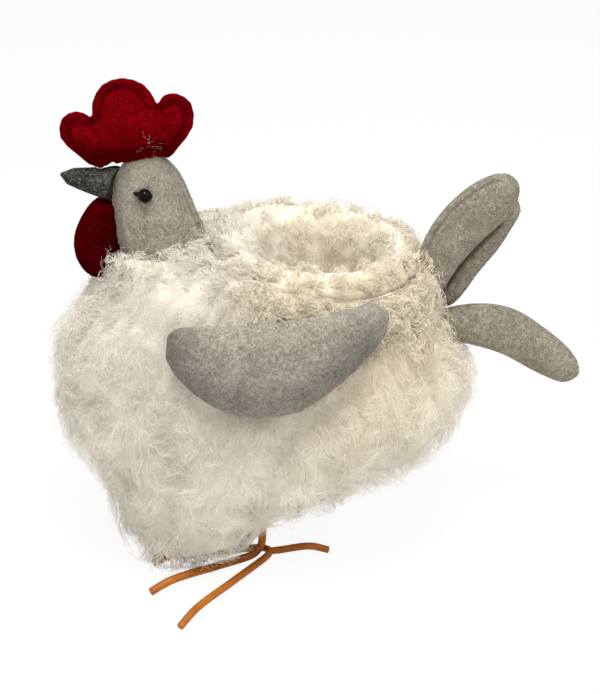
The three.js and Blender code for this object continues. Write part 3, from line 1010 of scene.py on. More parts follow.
# %% Lacquered wire
def lacquered_wire():
    material, shader, place = new_material("ochre_lacquered_wire")
    run = add_node(material, "ShaderNodeTexNoise", {
        "Vector": place, "Scale": 1 / (7 * MM), "Detail": 3, "Roughness": 0.6})
    grain = add_node(material, "ShaderNodeTexNoise", {
        "Vector": place, "Scale": 1 / (0.8 * MM), "Detail": 2})
    run_share = add_node(material, "ShaderNodeMapRange", {
        "Value": run.outputs["Fac"], "From Min": 0.35, "From Max": 0.68})
    colour = blend(material, run_share.outputs["Result"], shade("#8f4a05"), shade("#bd7a18"))
    roughness = add_node(material, "ShaderNodeMapRange", {
        "Value": grain.outputs["Fac"], "To Min": 0.38, "To Max": 0.58})
    relief = add_node(material, "ShaderNodeBump", {
        "Height": grain.outputs["Fac"], "Strength": 0.25, "Distance": 0.12 * MM})
    set_inputs(material, shader, {
        "Base Color": blend(material, grain.outputs["Fac"], colour, shade("#a85c0a")),
        "Normal": relief.outputs["Normal"], "Roughness": roughness.outputs["Result"],
        "Specular IOR Level": 0.3})
    return material


wire_finish = lacquered_wire()
SMOOTHED_OCTAGON = (4 + 2 * math.cos(math.pi / 4)) / 6
SHARP = math.radians(50)
HIND_TOE_REACH = 1.2 * MM
LACQUER = 0.15 * MM
END_CREASE = 0.5


def round_wire(node, radius):
    made = solid_copy("wire_" + node.removesuffix("_wire"), node)
    bpy.ops.object.mode_set(mode="EDIT")
    bpy.ops.mesh.select_all(action="SELECT")
    bpy.ops.mesh.tris_convert_to_quads(face_threshold=math.radians(40),
                                       shape_threshold=math.radians(60))
    bpy.ops.transform.shrink_fatten(value=radius * (1 / SMOOTHED_OCTAGON - 1) + LACQUER)
    bpy.ops.transform.translate(value=(0, 0, LACQUER))
    bpy.ops.object.mode_set(mode="OBJECT")
    work = bmesh.new()
    work.from_mesh(made.data)
    crease = work.edges.layers.float.new("crease_edge")
    ends = [e for e in work.edges if e.calc_face_angle(0) > SHARP]
    for edge in ends:
        edge[crease] = END_CREASE
    work.to_mesh(made.data)
    work.free()
    shape_with(made, "SUBSURF", levels=2, render_levels=2)
    if node.startswith("hind_toe"):
        points = columns(made.data.vertices, "co")
        front = points[:, 0].min()
        points[:, 0] -= HIND_TOE_REACH * (1 - smoothstep(1.5 * MM, 4 * MM, points[:, 0] - front))
        place_vertices(made, points)
    pick(made)
    bpy.ops.object.shade_smooth()
    print(node, len(ends), "edges at its cut ends")
    return made


for side_name in ("left", "right"):
    for node, radius in ((f"leg_{side_name}_wire", LEG_RADIUS),
                         (f"side_toes_{side_name}_wire", TOE_RADIUS),
                         (f"hind_toe_{side_name}_wire", TOE_RADIUS)):
        made = round_wire(node, radius)
        dress(made, wire_finish, "ochre_wire")
        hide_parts(node)
        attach(made, "root")

# %% [markdown]
# ## The pile's ground
#
# The pile is a curly fleece fabric: fibres of 15 to 25 mm stand on a knitted back and lean on
# each other in tufts, so no back shows. The ground under the curls is what is seen between
# them. It is made from the covers' solids, fused by a remesh, for which they are widened for a
# while so that no thin rim is lost. Its outside is sunk, by an amount that differs from place
# to place, and pushed into soft lumps by two layers of cloud noise. The curls grow wherever it
# looks away from the foam, so the rims of the covers and of the lining are dressed too.

# %% Ground of the pile and of the nest
form_tree = tree_of(solid_copy("foam_form_copy", "foam_form"))
felt_trees = {name: tree_of(entry["object"]) for name, entry in cushions.items()}
felt_vertices = {name: columns(entry["object"].data.vertices, "co")
                 for name, entry in cushions.items()}


def nearness(name, points, near, far):
    """1 where points are nearer to a cushion than near, falling to 0 at far, and the ways."""
    corners = felt_vertices[name]
    close = np.all((points > corners.min(0) - far) & (points < corners.max(0) + far), axis=1)
    share = np.zeros(len(points))
    ways = np.zeros((len(points), 3))
    for index in np.flatnonzero(close):
        place, normal, _, away = felt_trees[name].find_nearest(Vector(points[index]))
        inside = (Vector(points[index]) - place).dot(normal) < 0
        share[index] = 1 if inside else 1 - float(smoothstep(near, far, away))
        ways[index] = normal
    return share, ways


COLLARS = (("head", 13 * MM, 18 * MM), ("tail_upper_left", 0.8 * MM, 7 * MM),
           ("tail_upper_right", 0.8 * MM, 7 * MM), ("tail_lower", 0.8 * MM, 7 * MM))
BEHIND_THROAT = (LEG_X - 72 * MM, LEG_X - 62 * MM)


def cloud(name, size):
    texture = bpy.data.textures.new(name, "CLOUDS")
    texture.noise_scale = size
    texture.noise_depth = 2
    return texture


GROUND_LEFT = 1.8 * MM
GROUND_WIDENED = 0.8 * MM
TAIL_ROOTS = (LEG_X + 94 * MM, 121 * MM, 22 * MM)
LOW_BREAST = (LEG_X - 84 * MM, 38 * MM, 15 * MM)
BY_WATTLE = (LEG_X - 73 * MM, 156 * MM, 10 * MM)


def round_place(points, place):
    """1 at a place's x and z, falling to 0 over its reach."""
    away = np.hypot(points[:, 0] - place[0], points[:, 2] - place[1])
    return np.exp(-((away / place[2]) ** 2))


def cover_sunk(points, normals):
    """How far the covers' ground lies below their outside, worked out in millimetres: more in
    front, at the back underneath and at the three places, less where it hangs down between
    the legs."""
    front = -normals[:, 0] * (1 - smoothstep(92 * MM, 112 * MM, points[:, 2]))
    rear = smoothstep(LEG_X - 16 * MM, LEG_X + 12 * MM, points[:, 0])
    below = np.clip(-normals[:, 2], 0, 1)
    between_legs = smoothstep(LEG_X - 62 * MM, LEG_X - 46 * MM, points[:, 0]) * (1 - rear)
    hanging = 5.4 * below * between_legs
    flat = 4.8 * np.clip(np.maximum(1.2 * below * rear, front), 0, 1.2)
    places = 5.5 * round_place(points, TAIL_ROOTS) + 5.0 * (
        round_place(points, LOW_BREAST) + round_place(points, BY_WATTLE))
    return (2.4 - hanging + flat + places) * MM


def nest_radius(points):
    """How far out of the nest's middle points are, where 1 is its rim."""
    flat = (points - np.array(NEST_MIDDLE))[:, :2]
    return np.linalg.norm(flat / (np.array(NEST_HIGH - NEST_LOW)[:2] / 2), axis=1)


def lining_sunk(points, normals):
    """The lining's ground is sunk on top of the rim and raised in the hollow, worked out in
    millimetres."""
    from_middle = points - np.array(NEST_MIDDLE)
    from_middle[:, 2] = 0
    into_hollow = smoothstep(0.0, 0.7, -np.sum(normals * unit(from_middle), axis=1))
    rim = smoothstep(0.8, 0.97, nest_radius(points)) * (1 - into_hollow)
    far = smoothstep(0, 25 * MM, points[:, 1])
    on_rim = 3.4 + 1.2 * far + 5.5 * round_place(points, TAIL_ROOTS)
    return (on_rim * rim - 5.0 * (1 - rim)) * MM


def pile_ground(name, nodes, voxel, skin, sunk, lumps):
    """A lumpy skin of fused solids, and for each vertex how much pile grows there.

    skin has the two distances from the foam between which it begins to be sunk, sunk is one
    of the two functions above, and lumps has sizes and heights, and how much of each height
    goes inward. Round the neck and the tail's roots it rises as a collar."""
    made = solid_copy(name, *nodes)
    shape_with(made, "DISPLACE", strength=GROUND_WIDENED, mid_level=0)
    shape_with(made, "REMESH", mode="VOXEL", voxel_size=voxel)
    keep_largest_shell(made)
    shape_with(made, "DISPLACE", strength=-GROUND_WIDENED, mid_level=0)
    shape_with(made, "SMOOTH", factor=0.5, iterations=6)
    points = columns(made.data.vertices, "co")
    nearest = [form_tree.find_nearest(Vector(p)) for p in points]
    away = np.array([hit[3] for hit in nearest])
    outward = unit(points - np.array([hit[0] for hit in nearest]))
    facing = np.sum(columns(made.data.vertices, "normal") * outward, axis=1)
    grows = smoothstep(0.1, 0.5, facing) * (away > 1.2 * MM)
    outside = smoothstep(*skin, away) * smoothstep(-0.2, 0.4, facing)
    normals = columns(made.data.vertices, "normal")
    depth = np.minimum(sunk(points, normals) * outside, np.maximum(away - GROUND_LEFT, 0))
    place_vertices(made, points - normals * depth[:, None])
    shape_with(made, "SMOOTH", factor=0.5, iterations=4)
    weigh(made, "grows", grows)
    for size, height, middle in lumps:
        shape_with(made, "DISPLACE", texture=cloud(f"{name}_lumps", size), strength=height,
                   mid_level=middle, vertex_group="grows", texture_coords="LOCAL")
    for name_of_felt, height, far in COLLARS:
        points = columns(made.data.vertices, "co")
        share, ways = nearness(name_of_felt, points, 2 * MM, far)
        if name_of_felt == "head":
            share *= smoothstep(*BEHIND_THROAT, points[:, 0])
            share *= 1 - 0.7 * smoothstep(LEG_X - 68 * MM, LEG_X - 45 * MM, points[:, 0])
        lift = height * (share * grows)[:, None]
        place_vertices(made, points + lift * unit(np.array([0, 0, 1.0]) + 0.5 * ways))
    shape_with(made, "SMOOTH", factor=0.5, iterations=2)
    made.vertex_groups.clear()
    pick(made)
    bpy.ops.object.shade_smooth()
    return made, grows


ground, ground_grows = pile_ground(
    "pile_ground", ["pile_cover_left", "pile_cover_right"], 2.3 * MM,
    skin=(2.0 * MM, 5 * MM), sunk=cover_sunk,
    lumps=((15 * MM, 6.5 * MM, 0.5), (7 * MM, 3.0 * MM, 0.4)))
nest_ground, nest_grows = pile_ground(
    "nest_ground", ["nest_lining"], 1.8 * MM,
    skin=(1.2 * MM, 3.0 * MM), sunk=lining_sunk,
    lumps=((12 * MM, 6.0 * MM, 0.4), (6 * MM, 3.0 * MM, 0.35)))
bpy.data.objects.remove(bpy.data.objects["foam_form_copy"])
print("ground", len(ground.data.polygons), "and", len(nest_ground.data.polygons), "faces")

# %% [markdown]
# The cover's top edge lies against the lining all round the nest. It is smoothed there, so that
# no ridge stands up between the two. Hardly any pile grows behind the wattle, which would hide
# it.

# %% The cover's edge and the bare place behind the wattle
EDGE_SMOOTHING = 14
LEFT_BY_WATTLE = 0.08
points = columns(ground.data.vertices, "co")
cover_edge = 1 - smoothstep(1.25, 1.5, nest_radius(points))
cover_edge *= smoothstep(NEST_HIGH.z - 45 * MM, NEST_HIGH.z - 35 * MM, points[:, 2])
weigh(ground, "cover_edge", cover_edge)
shape_with(ground, "SMOOTH", factor=0.5, iterations=EDGE_SMOOTHING, vertex_group="cover_edge")
ground.vertex_groups.clear()
bare_by_wattle, _ = nearness("wattle", columns(ground.data.vertices, "co"),
                             near=6 * MM, far=15 * MM)
ground_grows *= 1 - (1 - LEFT_BY_WATTLE) * bare_by_wattle
print("smoothed edge", int((cover_edge > 0.5).sum()), "vertices")

# %% [markdown]
# ## The fleece's colour
#
# The fleece is undyed and uneven. The breast and belly are a cool white, and round the nest
# and over the rump it is a warm cream. One function gives the share of warm cream at a place,
# and both the ground and the curls take their colour from it, as a vertex attribute. Wool
# passes much light from fibre to fibre, which is what subsurface scattering does here: it
# keeps the gaps between the curls pale.

# %% Colours of the fleece
COOL_FLEECE = np.array(shade("#fbf5e8")[:3])
WARM_FLEECE = np.array(shade("#fff3da")[:3])


def in_hollow(points):
    """1 in the nest's hollow, falling to 0 at its rim."""
    return 1 - smoothstep(0.75, 1.0, nest_radius(points))


def fleece_warmth(points):
    """The share of warm cream: more with height and to the back, and half in the hollow."""
    height = smoothstep(95 * MM, 140 * MM, points[:, 2])
    back = smoothstep(LEG_X - 35 * MM, LEG_X + 45 * MM, points[:, 0])
    low = smoothstep(30 * MM, 90 * MM, points[:, 2])
    warmth = np.clip(0.15 + 0.75 * height * back + 0.35 * back * low, 0, 1)
    return warmth * (1 - 0.5 * in_hollow(points))


def colour_fleece(item, points, brightness):
    warmth = fleece_warmth(points)[:, None]
    colours = (COOL_FLEECE * (1 - warmth) + WARM_FLEECE * warmth) * brightness[:, None]
    rows = np.column_stack([np.clip(colours, 0, 1), np.ones(len(points))]).astype(np.float32)
    attribute = item.data.color_attributes.new("fleece", "FLOAT_COLOR", "POINT")
    attribute.data.foreach_set("color", rows.ravel())


def curly_fleece(name, shadow, bump, passing):
    """Undyed curly pile. shadow is how dark it gets between fibres, and passing is how much
    light goes on from fibre to fibre."""
    material, shader, place = new_material(name)
    fibre = add_node(material, "ShaderNodeTexNoise", {
        "Vector": place, "Scale": 1 / (1.3 * MM), "Detail": 3, "Distortion": 2.5})
    colour = add_node(material, "ShaderNodeAttribute", attribute_name="fleece")
    shadow_share = add_node(material, "ShaderNodeMapRange", {
        "Value": fibre.outputs["Fac"], "From Min": 0.35, "From Max": 0.6,
        "To Min": shadow, "To Max": 1.0})
    varied = blend(material, 1.0, colour.outputs["Color"], shadow_share.outputs["Result"],
                   blend_type="MULTIPLY")
    if bump:
        relief = add_node(material, "ShaderNodeBump", {
            "Height": fibre.outputs["Fac"], "Strength": 0.6, "Distance": bump})
        set_inputs(material, shader, {"Normal": relief.outputs["Normal"]})
    set_inputs(material, shader, {
        "Base Color": varied, "Roughness": 0.8, "Specular IOR Level": 0.2,
        "Subsurface Weight": passing, "Subsurface Radius": (1.0, 0.95, 0.85),
        "Subsurface Scale": 4 * MM})
    return material


ground_fleece = curly_fleece("undyed_curly_fleece_ground", shadow=0.82, bump=0.7 * MM,
                             passing=0.6)
curl_fleece = curly_fleece("undyed_curly_fleece", shadow=0.96, bump=0, passing=0.35)
# In the nest's hollow the ground is painted lighter, as painted light against the shade of its
# rim.
GROUND_TONE, WARM_DARKER, HOLLOW_PAINTED_LIGHT = 0.93, 0.04, 0.08
for made, slot, nodes in ((ground, "curly_pile", ("pile_cover_left", "pile_cover_right")),
                          (nest_ground, "nest_pile", ("nest_lining",))):
    points = columns(made.data.vertices, "co")
    hollow = in_hollow(points)
    colour_fleece(made, points, GROUND_TONE - WARM_DARKER * fleece_warmth(points) * (1 - hollow)
                  + HOLLOW_PAINTED_LIGHT * hollow)
    dress(made, ground_fleece, slot)
    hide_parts(*nodes)
    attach(made, "root")

# %% [markdown]
# ## Curls
#
# A fleece could be made from hair particles, but those are not a mesh, and a kept part needs
# one. So each lock of fibres is a closed three-sided tube along a curly line, with a few dozen
# faces, and numpy works out all of them at once. First come the tufts: places spread evenly
# over the ground, each with its own direction, length and curl. Then each lock starts
# somewhere on the ground, takes the habits of the nearest tuft, and is drawn towards the
# tuft's own line, so that neighbours wind side by side.

# %% Where curls grow
rng = np.random.default_rng(20)
DENSITY = 1.0


def spread_over(item, weights, count):
    """Places spread at random over the faces, with normals. weights are for vertices."""
    item.data.calc_loop_triangles()
    corners = columns(item.data.loop_triangles, "vertices", 3, np.int32)
    points = columns(item.data.vertices, "co")
    normals = columns(item.data.vertices, "normal")
    a, b, c = (points[corners[:, k]] for k in range(3))
    size = np.linalg.norm(np.cross(b - a, c - a), axis=1) * weights[corners].mean(1)
    chosen = rng.choice(len(size), count, p=size / size.sum())
    u, v = rng.random((2, count, 1))
    u, v = np.where(u + v > 1, 1 - u, u), np.where(u + v > 1, 1 - v, v)
    rows = corners[chosen]
    place = a[chosen] + u * (b - a)[chosen] + v * (c - a)[chosen]
    way = (1 - u - v) * normals[rows[:, 0]] + u * normals[rows[:, 1]] + v * normals[rows[:, 2]]
    return place, unit(way)


def thinned(places, ways, spacing):
    """Leaves out places that are nearer to an earlier one than the spacing."""
    kept, cells = [], {}
    for index, place in enumerate(places):
        cell = tuple((place // spacing).astype(int))
        near = [k for dx in (-1, 0, 1) for dy in (-1, 0, 1) for dz in (-1, 0, 1)
                for k in cells.get((cell[0] + dx, cell[1] + dy, cell[2] + dz), ())]
        if all(np.linalg.norm(places[k] - place) > spacing for k in near):
            cells.setdefault(cell, []).append(index)
            kept.append(index)
    return places[kept], ways[kept]


# %% [markdown]
# The curls fall down the sides, outward from the nest's rim and away from the neck. Under a
# wing they lie flat, as a ray from each foot to the wing tells. Where they would go into any
# felt they are moved out to its surface, so they lie over the foot of the neck and the tail.


# %% How curls lie
OVER_FELT = 0.4 * MM
UP, BACK = np.array([0, 0, 1.0]), np.array([1.0, 0, 0])
NEAR_FELT = {"head": UP, "tail_upper_left": BACK + UP, "tail_upper_right": BACK + UP,
             "tail_lower": BACK}


def lying(places, ways):
    """The direction in which the fleece falls at each place."""
    down = np.tile([0.0, 0.0, -1.0], (len(places), 1))
    outward = places - np.array(NEST_MIDDLE)
    outward[:, 2] = 0
    top = smoothstep(0.35, 0.9, ways[:, 2])[:, None]
    falling = down * (1 - top) + unit(outward) * top + 0.25 * down
    falling[:, 0] += 0.25 * smoothstep(LEG_X, LEG_X + 80 * MM, places[:, 0])
    for name, way in NEAR_FELT.items():
        share, _ = nearness(name, places, 3 * MM, 14 * MM)
        share *= smoothstep(*BEHIND_THROAT, places[:, 0])
        falling = falling * (1 - share[:, None]) + share[:, None] * way
    return along_surface(falling, ways)


def room_below_wings(places, ways, reach):
    """How far a straight fibre can grow before it meets a wing."""
    room = np.full(len(places), reach)
    for name in ("wing_left", "wing_right"):
        for index, (place, way) in enumerate(zip(places, ways)):
            hit = felt_trees[name].ray_cast(Vector(place), Vector(way), float(room[index]))
            if hit[0] is not None:
                room[index] = hit[3]
    return room


def out_of_felt(points):
    """The points, those inside felt moved out to its surface, and how deep they were."""
    points = points.copy()
    depth = np.zeros(len(points))
    for name, corners in felt_vertices.items():
        inside = np.all((points > corners.min(0)) & (points < corners.max(0)), axis=1)
        for index in np.flatnonzero(inside):
            place, normal, _, _ = felt_trees[name].find_nearest(Vector(points[index]))
            height = (Vector(points[index]) - place).dot(normal)
            if height < OVER_FELT:
                depth[index] = max(depth[index], -height)
                points[index] = place + OVER_FELT * normal
    return points, depth


# %% [markdown]
# A lock's line starts at its foot, rises, and then runs along the surface while it winds
# round. The winding is wider towards the tip, so that loose rings show there. Each tuft winds
# in its own plane: some rings stand up, and others lie on the fleece and show as small rings.


# %% Lines of curls
def curl_lines(steps, feet, ways, fall, length, height, width, turns, start, hand, flat):
    """Points of each lock's line: rows of steps + 1 points."""
    share = np.linspace(0, 1, steps + 1)[None, :, None]
    side = np.cross(ways, fall)[:, None, :]
    ways, fall, feet = ways[:, None, :], fall[:, None, :], feet[:, None, :]
    length, height, width, turns, start, hand, flat = (
        x[:, None, None] for x in (length, height, width, turns, start, hand, flat))
    rise = height * np.sin(np.minimum(share / 0.55, 1) * np.pi / 2) * (1 - 0.3 * share ** 2)
    run = length * (0.3 * share + 0.7 * share ** 1.5)
    angle = start + hand * turns * 2 * np.pi * share
    wide = width * (0.25 + 0.75 * share) * np.minimum(share * 4, 1)
    ring = np.cos(angle) * side + np.sin(angle) * (flat * fall + (1 - flat) * ways)
    return feet + rise * ways + run * fall + wide * ring


def tubes(name, lines, thickness, brightness):
    """Closed three-sided tubes along lines, as one object with a colour for each vertex.

    The map OFBake gives each tube its own cell of a square grid."""
    count, rings = lines.shape[:2]
    ahead = np.empty_like(lines)
    ahead[:, 1:-1] = lines[:, 2:] - lines[:, :-2]
    ahead[:, 0] = lines[:, 1] - lines[:, 0]
    ahead[:, -1] = lines[:, -1] - lines[:, -2]
    ahead /= np.maximum(np.linalg.norm(ahead, axis=2, keepdims=True), 1e-12)
    side = unit(np.cross(ahead[:, 0], rng.normal(size=(count, 3))))
    corners = np.empty((count, rings, 3, 3))
    taper = 1 - 0.7 * np.linspace(0, 1, rings) ** 2
    for ring in range(rings):
        side = along_surface(side, ahead[:, ring])
        other = np.cross(ahead[:, ring], side)
        for k in range(3):
            angle = 2 * np.pi * k / 3
            reach = (thickness * taper[ring] / 2)[:, None]
            corners[:, ring, k] = lines[:, ring] + reach * (
                math.cos(angle) * side + math.sin(angle) * other)
    first = np.arange(count)[:, None, None] * rings * 3
    ring = np.arange(rings - 1)[None, :, None] * 3
    k = np.arange(3)[None, None, :]
    a, b = first + ring + k, first + ring + (k + 1) % 3
    quads = np.stack([a, b, b + 3, a + 3], axis=-1).reshape(-1, 4)
    ends = np.stack([first[:, 0] + np.array([2, 1, 0]),
                     first[:, 0] + (rings - 1) * 3 + np.array([0, 1, 2])], axis=1).reshape(-1, 3)
    mesh = bpy.data.meshes.new(name)
    mesh.vertices.add(count * rings * 3)
    mesh.vertices.foreach_set("co", corners.astype(np.float32).ravel())
    loops = np.concatenate([quads.ravel(), ends.ravel()])
    mesh.loops.add(len(loops))
    mesh.loops.foreach_set("vertex_index", loops)
    mesh.polygons.add(len(quads) + len(ends))
    starts = np.concatenate([np.arange(len(quads)) * 4, quads.size + np.arange(len(ends)) * 3])
    mesh.polygons.foreach_set("loop_start", starts)
    mesh.update(calc_edges=True)
    mesh.validate()

    across = math.ceil(math.sqrt(count))
    tube = loops // (rings * 3)
    along = loops % (rings * 3) // 3 / (rings - 1)
    around = np.empty(len(loops))
    around[:quads.size] = (np.tile([0, 1, 1, 0], len(quads)) + np.repeat(
        np.tile(np.arange(3), len(quads) // 3), 4)) / 3
    around[quads.size:] = np.tile([0, 0.5, 1], len(ends))
    cell = np.column_stack([tube % across + 0.1 + 0.8 * along,
                            tube // across + 0.1 + 0.8 * around]) / across
    bake_map = mesh.uv_layers.new(name="OFBake")
    bake_map.data.foreach_set("uv", cell.astype(np.float32).ravel())
    made = new_object(name, mesh)
    pick(made)
    bpy.ops.object.shade_smooth()
    colour_fleece(made, corners.reshape(-1, 3), np.repeat(brightness, rings * 3))
    return made


# %% [markdown]
# Now the fleece itself. It has three kinds of locks. The curls wind one or two times and
# gather. The fuzz between them is finer and straighter, and more of it strays, which makes the
# soft outline. The ringlets have tufts of their own: they are thicker and more wound, and most
# of them grow round the nest, by the neck and over the warm back. Nothing goes below the floor.

# %% Tufts and locks
FLOOR_CLEARANCE = 1.5 * MM
DEEP_IN_FELT = 1 * MM
STRAIGHT_ROOM = 12 * MM


def tufts_on(item, weights, tried, spacing, length, height, width, turns):
    """Tufts spread evenly over one ground, with the habits of each."""
    places, ways = thinned(*spread_over(item, weights, tried), spacing)
    count = len(places)
    fall = lying(places, ways)
    swing = rng.normal(0, 0.8, count)[:, None]
    fall = np.cos(swing) * fall + np.sin(swing) * np.cross(ways, fall)
    low = 1 - smoothstep(60 * MM, 150 * MM, places[:, 2])
    near_legs = 1 - smoothstep(10 * MM, 35 * MM, np.hypot(places[:, 0] - LEG_X,
                                                          places[:, 2] - 35 * MM))
    on_rim = smoothstep(NEST_HIGH.z - 14 * MM, NEST_HIGH.z, places[:, 2])
    habits = {
        "length": length * rng.uniform(0.7, 1.3, count) * (1 + 0.4 * low)
        * (1 - 0.1 * near_legs),
        "height": height * rng.uniform(0.6, 1.4, count) * (1 - 0.4 * near_legs)
        * (1 - 0.4 * on_rim),
        "width": width * rng.uniform(0.6, 1.4, count),
        "turns": turns * rng.uniform(0.6, 1.4, count) * (1 - 0.35 * low),
        "start": rng.uniform(0, 2 * np.pi, count),
        "hand": rng.choice([-1.0, 1.0], count),
        "flat": rng.uniform(0.2, 1.0, count),
    }
    print(item.name, count, "tufts")
    return {"places": places, "ways": ways, "fall": fall, "habits": habits,
            "tree": point_tree(places), "tone": rng.normal(0, 0.02, count)}


def grow(item, weights, tufts, count, steps, thickness, gather, strays, scale):
    """Feet, lines, thicknesses and tones of locks. scale makes them smaller than the tuft's."""
    feet, up = spread_over(item, weights, count)
    keep = out_of_felt(feet)[1] < DEEP_IN_FELT
    feet, up = feet[keep], up[keep]
    count = len(feet)
    own = np.array([tufts["tree"].find(p)[1] for p in feet])
    stray = rng.random(count) < strays
    free = smoothstep(1 * MM, 9 * MM, room_below_wings(feet, up, STRAIGHT_ROOM))
    mine = {key: values[own].copy() for key, values in tufts["habits"].items()}
    mine["length"] *= rng.uniform(0.75, 1.2, count) * scale
    mine["height"] *= rng.uniform(0.7, 1.25, count) * (0.1 + 0.9 * free)
    mine["width"] *= rng.uniform(0.8, 1.2, count) * (0.25 + 0.75 * free) * scale
    mine["turns"] *= rng.uniform(0.85, 1.15, count) * scale
    mine["start"] += rng.normal(0, 0.4, count)
    mine["height"][stray] *= 1.35
    mine["start"][stray] = rng.uniform(0, 2 * np.pi, stray.sum())
    mine_fall = along_surface(tufts["fall"][own] + rng.normal(0, 0.25, (count, 3)), up)
    mine_fall[stray] = along_surface(rng.normal(0, 1, (stray.sum(), 3)), up[stray])
    lines = curl_lines(steps, feet, up, mine_fall, **mine)
    guides = curl_lines(steps, tufts["places"], tufts["ways"], tufts["fall"],
                        **tufts["habits"])[own]
    share = np.linspace(0, 1, steps + 1)[None, :, None] ** 1.3
    pull = np.where(stray, 0, gather * rng.uniform(0.6, 1.2, count) * free)[:, None, None]
    lines = lines + pull * share * (guides - lines)
    lines = out_of_felt(lines.reshape(-1, 3))[0].reshape(lines.shape)
    lines[..., 2] = np.maximum(lines[..., 2], FLOOR_CLEARANCE)
    thick = thickness * rng.uniform(0.7, 1.2, count) * np.where(stray, 0.7, 1)
    tone = np.clip(1 + tufts["tone"][own] + rng.normal(0, 0.02, count), 0.9, 1.03)
    return feet, lines, thick, tone


# %% [markdown]
# A piece of the fleece takes the locks of one region of one side, so that no piece gets too
# heavy.

# %% Growing the fleece
def in_regions(kind, slot, feet, lines, thick, tone, levels):
    """One object for each region of the body."""
    part_of = np.digitize(feet[:, 0], (LEG_X - 45 * MM, LEG_X + 45 * MM))
    level_of = np.digitize(feet[:, 2], levels)
    for index, part in enumerate(("breast", "flank", "rump")):
        for side_name, on_side in (("left", feet[:, 1] < 0), ("right", feet[:, 1] >= 0)):
            for level in range(len(levels) + 1):
                chosen = (part_of == index) & on_side & (level_of == level)
                made = tubes(f"{kind}_{part}_{side_name}_{level + 1}", lines[chosen],
                             thick[chosen], tone[chosen])
                dress(made, curl_fleece, slot)
                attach(made, "root")
                print(made.name, int(chosen.sum()), "locks")


tufts = tufts_on(ground, ground_grows, tried=9000, spacing=8.5 * MM, length=10 * MM,
                 height=5.0 * MM, width=2.0 * MM, turns=1.6)
in_regions("curls", "curly_pile", *grow(
    ground, ground_grows, tufts, int(10500 * DENSITY), steps=9, thickness=0.3 * MM,
    gather=0.4, strays=0.12, scale=1.0), levels=(90 * MM,))
in_regions("fuzz", "curly_pile", *grow(
    ground, ground_grows, tufts, int(8000 * DENSITY), steps=5, thickness=0.22 * MM,
    gather=0.1, strays=0.5, scale=0.7), levels=())

ground_points = columns(ground.data.vertices, "co")
round_nest = 1 - smoothstep(1.15, 1.4, nest_radius(ground_points))
round_nest *= ground_points[:, 2] > NEST_HIGH.z - 35 * MM
by_the_neck, _ = nearness("head", ground_points, near=5 * MM, far=14 * MM)
ringlet_share = ground_grows * (
    0.08 + 0.8 * fleece_warmth(ground_points) + 7.0 * round_nest + 2.5 * by_the_neck)
ringlets = tufts_on(ground, ringlet_share, tried=9000, spacing=5.5 * MM, length=7 * MM,
                    height=4.5 * MM, width=2.3 * MM, turns=2.1)
in_regions("ringlets", "curly_pile", *grow(
    ground, ringlet_share, ringlets, int(6400 * DENSITY), steps=12, thickness=0.42 * MM,
    gather=0.55, strays=0.1, scale=1.0), levels=())

nest_share = nest_grows * (
    1 + 4 * smoothstep(0.8, 0.95, nest_radius(columns(nest_ground.data.vertices, "co"))))
nest_tufts = tufts_on(nest_ground, nest_share, tried=6000, spacing=5.0 * MM, length=6 * MM,
                      height=4.5 * MM, width=2.2 * MM, turns=2.0)
for kind, count, steps, thickness, gather, strays, scale in (
        ("ringlets_nest", 2500, 12, 0.42 * MM, 0.5, 0.12, 1.1),
        ("fuzz_nest", 1200, 5, 0.24 * MM, 0.1, 0.5, 0.8)):
    _, lines, thick, tone = grow(nest_ground, nest_share, nest_tufts, int(count * DENSITY), steps,
                                 thickness, gather, strays, scale)
    made = tubes(kind, lines, thick, tone)
    dress(made, curl_fleece, "nest_pile")
    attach(made, "root")

# %% [markdown]
# Making up the hen leaves bits of pile fibre on the felt. A few small loose rings cling to the
# comb's left side, above its rear foot.

# %% Lint on the comb
LINT_PLACE = np.array([LEG_X - 50 * MM, 0, 206 * MM])
LINT_RINGS = 26
LINT_THICK = 0.13 * MM
LINT_TONE = 0.65
comb_points = columns(comb.data.vertices, "co")
comb_normals = columns(comb.data.vertices, "normal")
near_lint = np.linalg.norm((comb_points - LINT_PLACE)[:, (0, 2)], axis=1)
lint_grows = (1 - smoothstep(3 * MM, 9 * MM, near_lint)) * (comb_normals[:, 1] < -0.3)
feet, up = spread_over(comb, lint_grows, LINT_RINGS)
fall = along_surface(rng.normal(0, 1, (LINT_RINGS, 3)), up)
lines = curl_lines(
    9, feet + 0.15 * MM * up, up, fall, length=rng.uniform(1, 4, LINT_RINGS) * MM,
    height=np.full(LINT_RINGS, 0.5 * MM), width=rng.uniform(0.5, 1.1, LINT_RINGS) * MM,
    turns=rng.uniform(0.8, 1.6, LINT_RINGS), start=rng.uniform(0, 6, LINT_RINGS),
    hand=rng.choice([-1.0, 1.0], LINT_RINGS), flat=np.full(LINT_RINGS, 0.9))
lint = tubes("lint_on_comb", lines, np.full(LINT_RINGS, LINT_THICK),
             np.full(LINT_RINGS, LINT_TONE))
dress(lint, curl_fleece, "curly_pile")
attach(lint, "root")

# %% [markdown]
# ## The pad on the nest's floor
#
# A disc of grey felt lies on the foam at the bottom of the hollow. Its solid is a straight
# faceted disc. A copy is bevelled and subdivided, so that it has the soft edge of cut felt.

# %% Nest pad
pad = solid_copy("felt_nest_pad", "nest_floor_pad")
shape_with(pad, "BEVEL", width=1.2 * MM, segments=3, limit_method="ANGLE")
pick(pad)
bpy.ops.object.shade_smooth_by_angle(angle=math.radians(40))
dress(pad, heather_felt, "grey_felt")
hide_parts("nest_floor_pad")
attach(pad, "root")

# %% [markdown]
# ## The foam form
#
# The form inside is bead foam, as used for craft shapes. Nothing of it shows, but it keeps
# its own solid and gets the finish of moulded beads.


